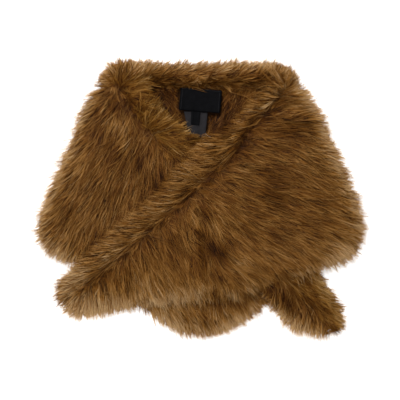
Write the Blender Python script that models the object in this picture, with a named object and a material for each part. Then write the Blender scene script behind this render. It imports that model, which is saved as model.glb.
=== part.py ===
"""Fur collar wrap, laid flat on its back with the right front crossed over the left.

A long-haired wrap is cut as a back, two fronts and a strip that runs round the neck and down both
front edges. Laid out, it is a stack: the back, the labels in the back neck, the left front with its
part of the strip, and the right front with its own. The wall of each panel is the backing and its
pile together. Each piece is drawn as sections across it in plan, and then lies on what is below it.

Plan: +X to the right as it is looked down on, +Y towards the back neck, +Z up from the surface.
Sizes in the tables are millimetres; "left" and "right" are as seen from above.
"""

import math
from collections import namedtuple

import bmesh
import bpy
from mathutils import Matrix, Vector
from mathutils.bvhtree import BVHTree

# ---------------------------------------------------------------- driving dimensions, millimetres

MM = 0.001
SEAM_GAP = 0.3        # between two pieces along a seam
LAY_GAP = 0.4         # between a piece and what it lies on
PANEL_WALL = 15.0     # backing and pile of a front, lying flat
BACK_WALL = 12.0      # the back, pressed by the fronts
STRIP_WALL = 22.0     # the strip's pile stands up to this height
COLLAR_RISE = 34.0    # height of the collar roll behind the neck
SWELL = 16.0          # distance in which the pile rises from a seam
ROUND = 26.0          # distance in which the pile thins out towards an edge
SEAM_SHARE = 0.45     # part of the wall that is left in the valley of a seam
EDGE_SHARE = 0.26     # part of the wall that is left where the hair ends
UNDERCUT = 3.0        # how far the underside stays inside the outline
BRIDGE = 9.0          # a panel is carried this far beyond an edge that it lies on
SKY = 500.0           # height from which a resting height is probed

# ---------------------------------------------------------------- tables, a row for each section

# A front: from its free edge across the strip to the strip's seam, and on across the panel to its
# hem. strip and nap are shares of STRIP_WALL and PANEL_WALL.
Section = namedtuple("Section", "edge_x edge_y seam_x seam_y hem_x hem_y strip nap")

RIGHT_FRONT = (
    # edge        seam        hem        strip  nap
    (97, 171,    133, 171,   151, 171,   0.80, 0.75),
    (90, 158,    117, 146,   167, 148,   0.95, 0.90),
    (75, 143,    99, 131,    183, 121,   1.00, 0.95),
    (57, 123,    81, 110,    202, 80,    0.95, 1.00),
    (36, 103,    63, 84,     220, 39,    0.90, 1.05),
    (13, 90,     45, 63,     236, -3,    0.88, 1.05),
    (-8, 75,     27, 42,     246, -47,   0.85, 1.05),
    (-24, 57,    12, 28,     235, -85,   0.82, 1.00),
    (-40, 37,    -5, 14,     184, -107,  0.80, 1.00),
    (-58, 15,    -23, -3,    124, -120,  0.80, 0.95),
    (-79, -6,    -47, -25,   67, -144,   0.80, 0.95),
    (-101, -21,  -71, -46,   2, -150,    0.80, 0.95),
    (-125, -42,  -96, -68,   -58, -158,  0.80, 0.95),
    (-150, -68,  -122, -91,  -110, -168, 0.80, 0.95),
    (-177, -92,  -149, -113, -150, -177, 0.80, 0.95),
    (-203, -115, -172, -131, -182, -180, 0.75, 0.90),
    (-217, -136, -189, -146, -202, -172, 0.60, 0.75),
    (-219, -151, -203, -155, -210, -163, 0.35, 0.40),
)

LEFT_FRONT = (
    # edge        seam        hem        strip  nap
    (-77, 171,   -125, 171,  -153, 171,  0.80, 0.75),
    (-74, 158,   -116, 154,  -169, 147,  0.95, 0.90),
    (-65, 142,   -104, 138,  -184, 118,  1.05, 0.95),
    (-51, 128,   -88, 116,   -199, 81,   0.98, 1.00),
    (-35, 113,   -71, 93,    -217, 42,   0.90, 1.00),
    (-15, 97,    -53, 74,    -232, 2,    0.82, 1.00),
    (7, 78,      -33, 55,    -246, -43,  0.70, 1.00),
    (30, 57,     -12, 32,    -232, -82,  0.55, 0.95),
    (52, 34,     10, 8,      -173, -100, 0.45, 0.80),
    (75, 10,     33, -18,    -105, -108, 0.38, 0.55),
    (99, -15,    57, -45,    -38, -117,  0.36, 0.50),
    (124, -42,   81, -72,    22, -124,   0.38, 0.50),
    (150, -71,   105, -98,   66, -132,   0.50, 0.60),
    (174, -100,  127, -121,  93, -146,   0.68, 0.80),
    (191, -129,  147, -141,  109, -168,  0.75, 0.90),
    (207, -152,  167, -160,  130, -191,  0.72, 0.90),
    (217, -173,  186, -183,  160, -205,  0.60, 0.75),
    (216, -197,  205, -205,  194, -208,  0.32, 0.40),
)

# The back, from the neck seam down to the lobe of its hem. Its sides stay inside the fronts, which
# fold down round them.
BackRow = namedtuple("BackRow", "y left right wall")

BACK = (
    # y     left  right wall
    (171,  -140,  136,  1.00),
    (147,  -156,  152,  1.00),
    (117,  -168,  167,  1.00),
    (72,   -188,  188,  1.00),
    (19,   -209,  211,  1.00),
    (-25,  -224,  226,  1.00),
    (-55,  -231,  232,  1.00),
    (-78,  -226,  227,  0.95),
    (-97,  -200,  201,  0.95),
    (-115, -163,  167,  1.00),
    (-138, -131,  135,  1.05),
    (-160, -99,   104,  1.10),
    (-182, -65,   77,   1.10),
    (-199, -40,   49,   0.85),
    (-208, -14,   22,   0.45),
)

# The collar behind the neck, from one shoulder to the other. low and high are its two long edges.
CollarRow = namedtuple("CollarRow", "x low high rise")

COLLAR = (
    # x     low    high  rise
    (-153, 171.3,  180,  0.50),
    (-147, 171.3,  192,  0.66),
    (-136, 171.3,  202,  0.80),
    (-118, 171.3,  207,  0.90),
    (-92,  171.3,  205,  0.92),
    (-60,  171.3,  203,  0.96),
    (-20,  171.3,  203,  1.00),
    (20,   171.3,  203,  1.00),
    (60,   171.3,  204,  0.98),
    (95,   171.3,  204,  0.94),
    (120,  171.3,  202,  0.88),
    (138,  171.3,  193,  0.76),
    (149,  171.3,  180,  0.50),
)

# The largest folds of each panel: a trough (deep above 0) or a ridge (deep below 0) that runs
# from its start to its end and is felt for about its width to either side.
Fold = namedtuple("Fold", "start_x start_y end_x end_y deep wide")

FOLDS = {
    "right_front": (
        (-4, 4,      2, -40,    6.0, 9),    # the front hangs off the strip's seam in one pleat
        (2, -40,     6, -104,   4.5, 9),
        (20, -82,    29, -92,   6.5, 11),   # a dimple beside the pleat's foot
        (112, 118,   168, 96,   4.0, 12),   # between the shoulder and the front
        (-60, -70,   -42, -140, 3.0, 10),
        (-100, -96,  -92, -150, 3.0, 9),
        (60, -50,    150, -96,  2.5, 14),
        (80, 40,     196, 4,    -2.0, 20),
    ),
    "left_front": (
        (-96, 132,   -84, 100,  6.0, 12),   # the whorl below the shoulder
        (-104, 66,   -150, -6,  3.0, 14),
        (-150, 84,   -208, 8,   -2.0, 16),
        (-66, 20,    -128, -72, 2.5, 14),
        (100, -142,  112, -156, 5.0, 12),   # the tail leaves from under the other front
        (136, -160,  166, -192, 3.0, 8),
    ),
    "back": (
        (-70, 150,   80, 158,   1.5, 14),
        (40, -160,   70, -182,  2.0, 12),
        (-20, -168,  -30, -196, 1.5, 12),
    ),
    "back_band": (
        (-84, 172,   -70, 186,  9.0, 12),   # the pocket between the collar and the left shoulder
        (100, 173,   118, 190,  4.0, 12),
        (-30, 188,   -18, 204,  3.0, 14),
        (52, 186,    62, 204,   3.0, 14),
    ),
    "left_band": (),
    "right_band": (
        (-30, 62,    -20, 34,   2.0, 12),
        (-120, -34,  -100, -72, 2.0, 12),
    ),
}

# Labels in the back neck, by their corners: upper left, upper right, lower right, lower left.
Label = namedtuple("Label", "name corners thick")

LABELS = (
    Label("care_label", ((-29, 131), (11, 130), (7, 91), (-21, 96)), 1.0),
    Label("size_tab", ((-13.5, 132), (1, 132), (-1, 110), (-14, 111)), 1.2),
    Label("main_label", ((-30.5, 167), (32.5, 163), (30, 128), (-32, 132)), 1.6),
)

# Colours of the pile and of the labels, linear RGB
PILE_BACK = (0.105, 0.047, 0.016)
PILE_FRONT = (0.150, 0.068, 0.020)
PILE_STRIP = (0.205, 0.100, 0.036)
LABEL_BLACK = (0.006, 0.006, 0.007)
LABEL_GREY = (0.045, 0.046, 0.060)


# ---------------------------------------------------------------- the scene and its materials

def clear_scene():
    """Empty the scene, the collections and the materials."""
    for old in list(bpy.data.objects):
        bpy.data.objects.remove(old)
    for old in list(bpy.data.collections):
        bpy.data.collections.remove(old)
    for old in list(bpy.data.materials):
        bpy.data.materials.remove(old)


def material(name, colour, roughness):
    """A plain cloth material."""
    made = bpy.data.materials.new(name)
    made.use_nodes = True
    shader = made.node_tree.nodes["Principled BSDF"]
    shader.inputs["Base Color"].default_value = (*colour, 1.0)
    shader.inputs["Roughness"].default_value = roughness
    shader.inputs["Metallic"].default_value = 0.0
    made.diffuse_color = (*colour, 1.0)
    return made


# ---------------------------------------------------------------- sections

def through(rows, steps):
    """Smooth rows between the given ones: a Catmull-Rom curve in each column."""
    smooth = []
    last = len(rows) - 1
    for index in range(last):
        before = rows[max(index - 1, 0)]
        here = rows[index]
        there = rows[index + 1]
        after = rows[min(index + 2, last)]
        for step in range(steps):
            t = step / steps
            smooth.append(tuple(
                0.5 * (2 * q + (r - p) * t
                       + (2 * p - 5 * q + 4 * r - s) * t * t
                       + (3 * q - p - 3 * r + s) * t ** 3)
                for p, q, r, s in zip(before, here, there, after)
            ))
    smooth.append(tuple(float(value) for value in rows[last]))
    return smooth


def rise(distance, reach, base):
    """A quarter round: base at the edge, 1 from reach inwards."""
    left = 1.0 - min(max(distance / reach, 0.0), 1.0)
    return base + (1.0 - base) * math.sqrt(1.0 - left * left)


def shares(count, bunch):
    """count places from 0 to 1, drawn towards both ends by bunch."""
    places = []
    for index in range(count):
        t = index / (count - 1)
        places.append((1.0 - bunch) * t + bunch * (0.5 - 0.5 * math.cos(math.pi * t)))
    return places


def fold_depth(x, y, folds):
    """How far the folds lower the pile at a place in plan."""
    total = 0.0
    for fold in folds:
        run_x = fold.end_x - fold.start_x
        run_y = fold.end_y - fold.start_y
        along = ((x - fold.start_x) * run_x + (y - fold.start_y) * run_y) / (run_x ** 2 + run_y ** 2)
        along = min(max(along, 0.0), 1.0)
        away = math.hypot(x - fold.start_x - along * run_x, y - fold.start_y - along * run_y)
        total += fold.deep * math.exp(-(away / fold.wide) ** 2)
    return total


# ---------------------------------------------------------------- lying on what is below

def probe_ring(radius, count):
    """Places on a circle about a point."""
    turns = (2 * math.pi * k / count for k in range(count))
    return [(radius * math.cos(turn), radius * math.sin(turn)) for turn in turns]


PROBES = [(0.0, 0.0)] + probe_ring(BRIDGE / 2, 6) + probe_ring(BRIDGE, 10)


def resting_height(x, y, below):
    """Height at which cloth lies at (x, y): the highest thing near it, or the floor."""
    height = 0.0
    for off_x, off_y in PROBES:
        start = Vector((x + off_x, y + off_y, SKY))
        for tree in below:
            point = tree.ray_cast(start, Vector((0.0, 0.0, -1.0)))[0]
            if point is not None:
                height = max(height, point.z + LAY_GAP)
    return height


def eased(heights, passes):
    """Cloth bridges hollows: raise each height to the mean of its neighbours, never lower it."""
    rows = len(heights)
    across = len(heights[0])
    for _ in range(passes):
        before = [list(row) for row in heights]
        for i in range(rows):
            for j in range(across):
                near = (before[max(i - 1, 0)][j] + before[min(i + 1, rows - 1)][j]
                        + before[i][max(j - 1, 0)] + before[i][min(j + 1, across - 1)])
                heights[i][j] = max(heights[i][j], near / 4)
    return heights


# ---------------------------------------------------------------- a piece as a closed wall

def wall_faces(rows, across):
    """Triangles of a closed wall: a top grid, a bottom grid and the four sides between them."""
    top = [[i * across + j for j in range(across)] for i in range(rows)]
    bottom = [[rows * across + i * across + j for j in range(across)] for i in range(rows)]
    quads = []
    for i in range(rows - 1):
        for j in range(across - 1):
            quads.append((top[i][j], top[i + 1][j], top[i + 1][j + 1], top[i][j + 1]))
            quads.append((bottom[i][j], bottom[i][j + 1], bottom[i + 1][j + 1], bottom[i + 1][j]))
        quads.append((top[i][0], bottom[i][0], bottom[i + 1][0], top[i + 1][0]))
        quads.append((top[i][-1], top[i + 1][-1], bottom[i + 1][-1], bottom[i][-1]))
    for j in range(across - 1):
        quads.append((top[0][j], top[0][j + 1], bottom[0][j + 1], bottom[0][j]))
        quads.append((top[-1][j], bottom[-1][j], bottom[-1][j + 1], top[-1][j + 1]))
    return [face for a, b, c, d in quads for face in ((a, b, c), (a, c, d))]


def tree_of(points, faces, lift=0.0):
    """A search tree of a piece, lifted by a gap."""
    return BVHTree.FromPolygons([(x, y, z + lift) for x, y, z in points], faces)


def lay(top_plan, bottom_plan, walls, below_pieces, folds):
    """Points and faces of a piece that lies on the pieces below it.

    top_plan and bottom_plan are grids of (x, y); walls is the height of the pile at each place.
    """
    rows = len(top_plan)
    across = len(top_plan[0])
    below = [tree_of(*piece) for piece in below_pieces]
    bottom = [[resting_height(x, y, below) for x, y in row] for row in bottom_plan]
    bottom = eased(bottom, 2) if below else bottom
    seat = eased([list(row) for row in bottom], 4)
    faces = wall_faces(rows, across)
    spread = [
        [seat[i][j] + walls[i][j] - min(fold_depth(*top_plan[i][j], folds), 0.55 * walls[i][j])
         for j in range(across)]
        for i in range(rows)
    ]
    lifted = [tree_of(*piece, lift=LAY_GAP / 2) for piece in below_pieces]
    half = rows * across
    for _ in range(80):
        points = [(x, y, z) for row, heights in zip(top_plan, spread)
                  for (x, y), z in zip(row, heights)]
        points += [(x, y, z) for row, heights in zip(bottom_plan, bottom)
                   for (x, y), z in zip(row, heights)]
        own = BVHTree.FromPolygons(points, faces)
        touched = {k for tree in lifted for index, _ in own.overlap(tree) for k in faces[index]}
        if not touched:
            break
        for k in touched:
            i, j = divmod(k % half, across)
            if k >= half:
                bottom[i][j] += LAY_GAP
            spread[i][j] = max(spread[i][j], bottom[i][j] + 0.4 * walls[i][j])
    return points, faces


# ---------------------------------------------------------------- the pieces

def across_front(sections, side, steps, count):
    """Plans and walls of one side of a front: its strip ("strip") or its panel ("nap")."""
    top_plan = []
    bottom_plan = []
    walls = []
    places = shares(count, 0.55)
    for row in through(sections, steps):
        section = Section(*row)
        seam = Vector((section.seam_x, section.seam_y))
        if side == "strip":
            free = Vector((section.edge_x, section.edge_y))
            full = STRIP_WALL * section.strip
        else:
            free = Vector((section.hem_x, section.hem_y))
            full = PANEL_WALL * section.nap
        run = free - seam
        width = run.length
        seam = seam + run * (SEAM_GAP / 2 / width)
        run = free - seam
        undercut = run * (1 - UNDERCUT / width)
        swell = min(SWELL, 0.5 * width)
        curve = min(ROUND, 0.55 * width)
        top_plan.append([tuple(seam + run * place) for place in places])
        bottom_plan.append([tuple(seam + undercut * place) for place in places])
        walls.append([
            full * rise(place * width, swell, SEAM_SHARE) * rise((1 - place) * width, curve, EDGE_SHARE)
            for place in places
        ])
    return top_plan, bottom_plan, walls


def across_back(rows, steps, count):
    """Plans and walls of the back, from its left side to its right one."""
    top_plan = []
    bottom_plan = []
    walls = []
    places = shares(count, 0.6)
    for values in through(rows, steps):
        row = BackRow(*values)
        width = row.right - row.left
        hem_run = row.y - rows[-1][0]
        full = BACK_WALL * row.wall * rise(hem_run, ROUND, EDGE_SHARE)
        curve = min(ROUND, 0.4 * width)
        shift = UNDERCUT * max(0.0, 1 - hem_run / ROUND)
        top_plan.append([(row.left + width * place, row.y) for place in places])
        bottom_plan.append([
            (row.left + UNDERCUT + (width - 2 * UNDERCUT) * place, row.y + shift) for place in places
        ])
        walls.append([
            full * rise(min(place, 1 - place) * width, curve, EDGE_SHARE + 0.1) for place in places
        ])
    return top_plan, bottom_plan, walls


def across_collar(rows, steps, count):
    """Plans and walls of the collar roll, from its neck side to its outer one."""
    top_plan = []
    bottom_plan = []
    walls = []
    places = shares(count, 0.5)
    for values in through(rows, steps):
        row = CollarRow(*values)
        width = row.high - row.low
        full = COLLAR_RISE * row.rise
        top_plan.append([(row.x, row.low + width * place) for place in places])
        bottom_plan.append([
            (row.x * 0.985, row.low + max(width - UNDERCUT, 0.6 * width) * place) for place in places
        ])
        walls.append([
            full * rise(place * width, 0.25 * width, 0.70) * rise((1 - place) * width, 0.6 * width, 0.22)
            for place in places
        ])
    return top_plan, bottom_plan, walls


def label_wall(label, below_pieces):
    """A label: a thin sheet between its corners, laid on what is below it."""
    across = 7
    rows = 5
    upper_left, upper_right, lower_right, lower_left = (Vector(corner) for corner in label.corners)
    plan = []
    for i in range(rows):
        left = upper_left.lerp(lower_left, i / (rows - 1))
        right = upper_right.lerp(lower_right, i / (rows - 1))
        plan.append([tuple(left.lerp(right, j / (across - 1))) for j in range(across)])
    walls = [[label.thick] * across for _ in range(rows)]
    return lay(plan, plan, walls, below_pieces, ())


def make_object(name, points, faces, finish, collection):
    """A named object from points in millimetres, with its faces pointing out."""
    mesh = bpy.data.meshes.new(name)
    mesh.from_pydata([Vector(point) * MM for point in points], [], faces)
    work = bmesh.new()
    work.from_mesh(mesh)
    bmesh.ops.recalc_face_normals(work, faces=work.faces)
    work.to_mesh(mesh)
    work.free()
    mesh.materials.append(finish)
    made = bpy.data.objects.new(name, mesh)
    collection.objects.link(made)
    return made


def build():
    """Make every piece, from the floor up."""
    clear_scene()
    collection = bpy.data.collections.new("fur_collar_wrap")
    bpy.context.scene.collection.children.link(collection)
    folds = {name: [Fold(*row) for row in rows] for name, rows in FOLDS.items()}
    pieces = {}
    pieces["back"] = lay(*across_back(BACK, 2, 15), [], folds["back"])
    pieces["back_band"] = lay(*across_collar(COLLAR, 3, 9), [], folds["back_band"])
    for label in LABELS:
        laid = [pieces[name] for name in pieces if name != "back_band"]
        pieces[label.name] = label_wall(label, laid)
    under = [pieces[name] for name in pieces if name != "back_band"]
    pieces["left_front"] = lay(*across_front(LEFT_FRONT, "nap", 2, 12), under, folds["left_front"])
    pieces["left_band"] = lay(*across_front(LEFT_FRONT, "strip", 2, 8), under, folds["left_band"])
    under += [pieces["left_front"], pieces["left_band"]]
    pieces["right_front"] = lay(*across_front(RIGHT_FRONT, "nap", 2, 12), under, folds["right_front"])
    pieces["right_band"] = lay(*across_front(RIGHT_FRONT, "strip", 2, 8), under, folds["right_band"])

    finishes = {
        "back": ("long_pile_back", PILE_BACK, 0.75),
        "left_front": ("long_pile_left_front", PILE_FRONT, 0.7),
        "right_front": ("long_pile_right_front", PILE_FRONT, 0.7),
        "back_band": ("long_pile_collar", PILE_STRIP, 0.7),
        "left_band": ("long_pile_left_strip", PILE_STRIP, 0.7),
        "right_band": ("long_pile_right_strip", PILE_STRIP, 0.7),
        "main_label": ("woven_satin_main_label", LABEL_BLACK, 0.5),
        "size_tab": ("woven_satin_size_tab", LABEL_BLACK, 0.55),
        "care_label": ("printed_satin_care_label", LABEL_GREY, 0.45),
    }
    made = [
        make_object(name, *piece, material(*finishes[name]), collection)
        for name, piece in pieces.items()
    ]

    # The origin is the middle of the whole outline, on the surface
    corners = [vertex.co for piece in made for vertex in piece.data.vertices]
    low = [min(corner[axis] for corner in corners) for axis in range(3)]
    high = [max(corner[axis] for corner in corners) for axis in range(3)]
    shift = Matrix.Translation((-(low[0] + high[0]) / 2, -(low[1] + high[1]) / 2, -low[2]))
    for piece in made:
        piece.data.transform(shift)


build()
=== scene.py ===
# %% [markdown]
# # A fur collar wrap
#
# The wrap is a short shoulder cape of long faux fur. It lies flat with its fronts crossed, a fur strip runs
# round the neck and down both front edges, and three small labels sit in the back neck.
#
# Its solids come ready made, in metres, and are never moved. This lesson puts a cloth backing and a real
# pile of hair on them, and weaves the labels. The first lines load the solids, and note how big the bare
# model is.

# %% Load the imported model
import math
import random
import bpy
import numpy as np
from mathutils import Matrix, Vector, noise
from mathutils.bvhtree import BVHTree


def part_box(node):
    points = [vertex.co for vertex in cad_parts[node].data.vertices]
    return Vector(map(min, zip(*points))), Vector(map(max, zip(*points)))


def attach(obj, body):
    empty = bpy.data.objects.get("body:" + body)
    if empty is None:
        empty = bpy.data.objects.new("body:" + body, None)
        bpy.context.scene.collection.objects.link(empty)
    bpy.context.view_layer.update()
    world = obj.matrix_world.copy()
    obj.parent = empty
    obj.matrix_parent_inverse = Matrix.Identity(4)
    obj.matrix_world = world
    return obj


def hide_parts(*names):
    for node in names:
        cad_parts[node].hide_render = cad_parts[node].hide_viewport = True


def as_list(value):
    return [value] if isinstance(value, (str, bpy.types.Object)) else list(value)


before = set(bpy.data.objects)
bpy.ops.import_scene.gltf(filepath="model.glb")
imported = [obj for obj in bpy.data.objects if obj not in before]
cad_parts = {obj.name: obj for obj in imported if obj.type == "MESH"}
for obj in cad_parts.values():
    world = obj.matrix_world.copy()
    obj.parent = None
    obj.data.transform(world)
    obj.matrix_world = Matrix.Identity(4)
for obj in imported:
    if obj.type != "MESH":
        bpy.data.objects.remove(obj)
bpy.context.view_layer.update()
MM = 0.001
print("solids:", ", ".join(sorted(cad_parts)))

# %% [markdown]
# ## Small helpers
#
# Colours are picked as hex values, as a screen shows them. A shader wants linear light, so one function
# converts them. Every node tree here, for shading or for geometry, is built with one other function: it
# adds a node, sets it up and links it, which keeps a tree short to read. The rest save a few lines each
# time an object or a material is made.

# %% Colour and node helpers
def linear(hex_colour):
    """A screen colour such as #7d5226 as linear light with full opacity."""
    parts = [int(hex_colour[at:at + 2], 16) / 255 for at in (1, 3, 5)]
    return [c / 12.92 if c <= 0.04045 else ((c + 0.055) / 1.055) ** 2.4 for c in parts] + [1.0]


def add(tree, kind, inputs=None, **settings):
    """Adds a node. inputs gives its sockets, by name, number or identifier, a value or a feeding socket."""
    made = tree.nodes.new(kind)
    for name, value in settings.items():
        setattr(made, name, value)
    for key, value in (inputs or {}).items():
        socket = next((s for s in made.inputs if s.identifier == key), None) or made.inputs[key]
        if isinstance(value, bpy.types.NodeSocket):
            tree.links.new(value, socket)
        else:
            socket.default_value = value
    return made


print("mid brown in linear light:", [round(c, 3) for c in linear("#7d5226")])

# %% Object and material helpers
def linked(name, data):
    """A new object with that data, in the scene."""
    made = bpy.data.objects.new(name, data)
    bpy.context.scene.collection.objects.link(made)
    return made


def blank_material(name, constants):
    """A new material, its node tree and its shader, with the constants on the shader's own sockets."""
    material = bpy.data.materials.new(name)
    material.use_nodes = True
    shader = material.node_tree.nodes["Principled BSDF"]
    for socket, value in constants.items():
        shader.inputs[socket].default_value = value
    return material, material.node_tree, shader


def set_stops(ramp_node, stops):
    """Gives a colour ramp its stops, each a position and a hex colour, from left to right."""
    elements = ramp_node.color_ramp.elements
    while len(elements) < len(stops):
        elements.new(0.5)
    for element, (position, hex_colour) in zip(elements, stops):
        element.position = position
        element.color = linear(hex_colour)


def grow(base, tree, wanted):
    """Runs a Geometry Nodes tree on an object and returns the result as a plain mesh. The object goes."""
    modifier = base.modifiers.new("grow", "NODES")
    modifier.node_group = tree
    for item in tree.interface.items_tree:
        if item.name in wanted:
            modifier[item.identifier] = wanted[item.name]
    graph = bpy.context.evaluated_depsgraph_get()
    mesh = bpy.data.meshes.new_from_object(base.evaluated_get(graph), depsgraph=graph)
    bpy.data.objects.remove(base)
    return mesh


def triangles(made):
    """How many triangles an object's mesh comes to."""
    return sum(len(polygon.vertices) - 2 for polygon in made.data.polygons)


print("helpers ready")

# %% [markdown]
# ## Studio
#
# The wrap is seen from straight above. A long lens far up keeps it free of perspective. The floor is a matt
# white sheet that glows a little, so the shadow round the fur stays faint, and one big soft light stands
# towards the neck. The view transform is Standard, because the garment's browns should come out as picked.

# %% Camera
VIEW_WIDTH = 600 * MM
VIEW_CENTRE = (-0.75 * MM, -2.5 * MM)
VIEW_HEIGHT = 3.0
FUR_HEIGHT = 25 * MM
camera = linked("studio_camera", bpy.data.cameras.new("studio_camera"))
camera.location = (*VIEW_CENTRE, VIEW_HEIGHT + FUR_HEIGHT)
camera.data.lens = camera.data.sensor_width * VIEW_HEIGHT / VIEW_WIDTH
camera.data.clip_end = 20
bpy.context.scene.camera = camera
print("lens, mm:", round(camera.data.lens))

# %% Floor, light and world
FLOOR_REACH = 6.0
PAPER_GLOW = 0.75
SOFTBOX_SIZE = 1.3
SOFTBOX_WATTS = 60
SOFTBOX_PLACE = (-0.7, 1.3, 2.4)
SKY_STRENGTH = 0.42
corners = [(x * FLOOR_REACH, y * FLOOR_REACH, 0) for x, y in ((-1, -1), (1, -1), (1, 1), (-1, 1))]
floor_mesh = bpy.data.meshes.new("floor")
floor_mesh.from_pydata(corners, [], [(0, 1, 2, 3)])
floor = linked("floor", floor_mesh)
paper = blank_material("Matt white paper", {
    "Base Color": linear("#f4f4f4"), "Roughness": 0.9, "Emission Color": linear("#ffffff"),
    "Emission Strength": PAPER_GLOW})[0]
floor_mesh.materials.append(paper)
softbox = linked("softbox", bpy.data.lights.new("softbox", "AREA"))
softbox.data.size = SOFTBOX_SIZE
softbox.data.energy = SOFTBOX_WATTS
softbox.location = SOFTBOX_PLACE
softbox.rotation_euler = (Vector((0, 0, 0)) - softbox.location).to_track_quat("-Z", "Y").to_euler()
world = bpy.data.worlds.new("studio")
world.use_nodes = True
world.node_tree.nodes["Background"].inputs["Color"].default_value = linear("#ffffff")
world.node_tree.nodes["Background"].inputs["Strength"].default_value = SKY_STRENGTH
bpy.context.scene.world = world
bpy.context.scene.view_settings.view_transform = "Standard"
print("studio ready")

# %% [markdown]
# ## Reading the solids in plan
#
# Hair follows the cloth under it, so each panel's height is read first, on one plan grid over the whole
# garment: a ray straight down finds the top of a panel and a ray straight up its underside. A panel's
# outline in plan is made of the edges where its mesh turns from facing up to facing sideways.

# %% Plan grid and panels
STEP = 3 * MM
GRID_REACH_X = 294 * MM
GRID_REACH_Y = 255 * MM
grid_x, grid_y = np.meshgrid(
    np.arange(-GRID_REACH_X, GRID_REACH_X + STEP / 2, STEP),
    np.arange(-GRID_REACH_Y, GRID_REACH_Y + STEP / 2, STEP), indexing="ij")
PANELS = ("back", "left_front", "left_band", "right_front", "right_band", "back_band")
LABELS = ("care_label", "size_tab", "main_label")


def by_panel(*values):
    """One value for each panel, given in the order of PANELS."""
    return dict(zip(PANELS, values))


print("grid points:", grid_x.size)

# %% Heights and outlines
UP = Vector((0, 0, 1))
SIDEWAYS = 0.01


def read_heights(name):
    """Top and underside of a solid at each grid point, and NaN off it."""
    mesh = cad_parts[name].data
    tree = BVHTree.FromPolygons([v.co for v in mesh.vertices], [p.vertices for p in mesh.polygons])
    low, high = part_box(name)
    top = np.full(grid_x.shape, np.nan)
    under = top.copy()
    near = (grid_x > low.x) & (grid_x < high.x) & (grid_y > low.y) & (grid_y < high.y)
    for i, j in np.argwhere(near):
        above = tree.ray_cast(Vector((grid_x[i, j], grid_y[i, j], 1)), -UP)[0]
        if above:
            top[i, j] = above.z
            under[i, j] = tree.ray_cast(Vector((grid_x[i, j], grid_y[i, j], -1)), UP)[0].z
    return top, under


def read_outline(name):
    """Edges of a solid's outline in plan, each as its two ends."""
    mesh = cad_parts[name].data
    facing = {}
    for polygon in mesh.polygons:
        corners = [tuple(round(c, 6) for c in mesh.vertices[at].co) for at in polygon.vertices]
        for edge in zip(corners, corners[1:] + corners[:1]):
            facing.setdefault(tuple(sorted(edge)), []).append(polygon.normal.z)
    return np.array([[a[:2], b[:2]] for (a, b), z in facing.items() if max(z) > SIDEWAYS >= min(z)])


top, under, inside, outline = {}, {}, {}, {}
for name in PANELS + LABELS:
    top[name], under[name] = read_heights(name)
    inside[name] = np.isfinite(top[name])
    outline[name] = read_outline(name)
    around = np.linalg.norm(outline[name][:, 0] - outline[name][:, 1], axis=1).sum()
    print(f"{name}: {inside[name].sum() * STEP ** 2 * 1e4:.0f} cm2 in plan, {around / MM:.0f} mm round")

# %% [markdown]
# ## Which edges are free
#
# Hair hangs past a free edge, and meets the next panel's hair at a seam. An edge of a panel's outline is a
# seam where the panel that it is sewn to starts a hair's breadth away. What lies on what decides which hair
# can be seen.

# %% Distance to edges
FAR = 0.5
NO_LENGTH = 1e-12


def distance_to(edges, x, y):
    """Distance from each point to the nearest of some edges."""
    nearest = np.full(x.shape, FAR)
    for (ax, ay), (bx, by) in edges:
        length_squared = (bx - ax) ** 2 + (by - ay) ** 2 + NO_LENGTH
        along = np.clip(((x - ax) * (bx - ax) + (y - ay) * (by - ay)) / length_squared, 0, 1)
        nearest = np.minimum(nearest, np.hypot(x - ax - along * (bx - ax), y - ay - along * (by - ay)))
    return nearest


def bell_along(ax, ay, bx, by, width):
    """1 on a line between two places, falling off beside it as a bell of that width, all in millimetres."""
    away = distance_to([((ax * MM, ay * MM), (bx * MM, by * MM))], grid_x, grid_y)
    return np.exp(-0.5 * (away / (width * MM)) ** 2)


def on_any(names):
    """The grid points that lie on at least one of the named solids."""
    return np.any([np.zeros(grid_x.shape, bool)] + [inside[name] for name in names], axis=0)


print("grid points on a label:", on_any(LABELS).sum())

# %% Seams and layers
SEAM_REACH = 3 * MM
SEWN_TO = {
    "back": ("back_band",),
    "left_front": ("left_band", "back_band"),
    "left_band": ("left_front", "back_band"),
    "right_front": ("right_band", "back_band"),
    "right_band": ("right_front", "back_band"),
    "back_band": ("back", "left_front", "left_band", "right_front", "right_band"),
}
UNDER_IT = {
    "back": (),
    "left_front": ("back",) + LABELS,
    "left_band": ("back",) + LABELS,
    "right_front": ("back", "left_front", "left_band") + LABELS,
    "right_band": ("back", "left_front", "left_band") + LABELS,
    "back_band": LABELS,
}
free_distance, own_distance, seen, pressed_on = {}, {}, {}, {}
for name in PANELS:
    partners = np.concatenate([outline[other] for other in SEWN_TO[name]])
    to_own, to_partner = (distance_to(edges, grid_x, grid_y) for edges in (outline[name], partners))
    seam = distance_to(partners, *outline[name].mean(axis=1).T) < SEAM_REACH
    sewn = inside[name] | on_any(SEWN_TO[name]) | (to_own < STEP) & (to_partner < STEP)
    free_distance[name] = distance_to(outline[name][~seam], grid_x, grid_y) * np.where(sewn, 1, -1)
    own_distance[name] = to_own * np.where(inside[name], 1, -1)
    pressed_on[name] = on_any(other for other in PANELS if name in UNDER_IT[other])
    seen[name] = inside[name] & ~pressed_on[name]
    print(f"{name}: {seam.sum()} of {len(seam)} outline edges are seam, "
          f"{100 * seen[name].sum() / inside[name].sum():.0f}% of it is seen")

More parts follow.
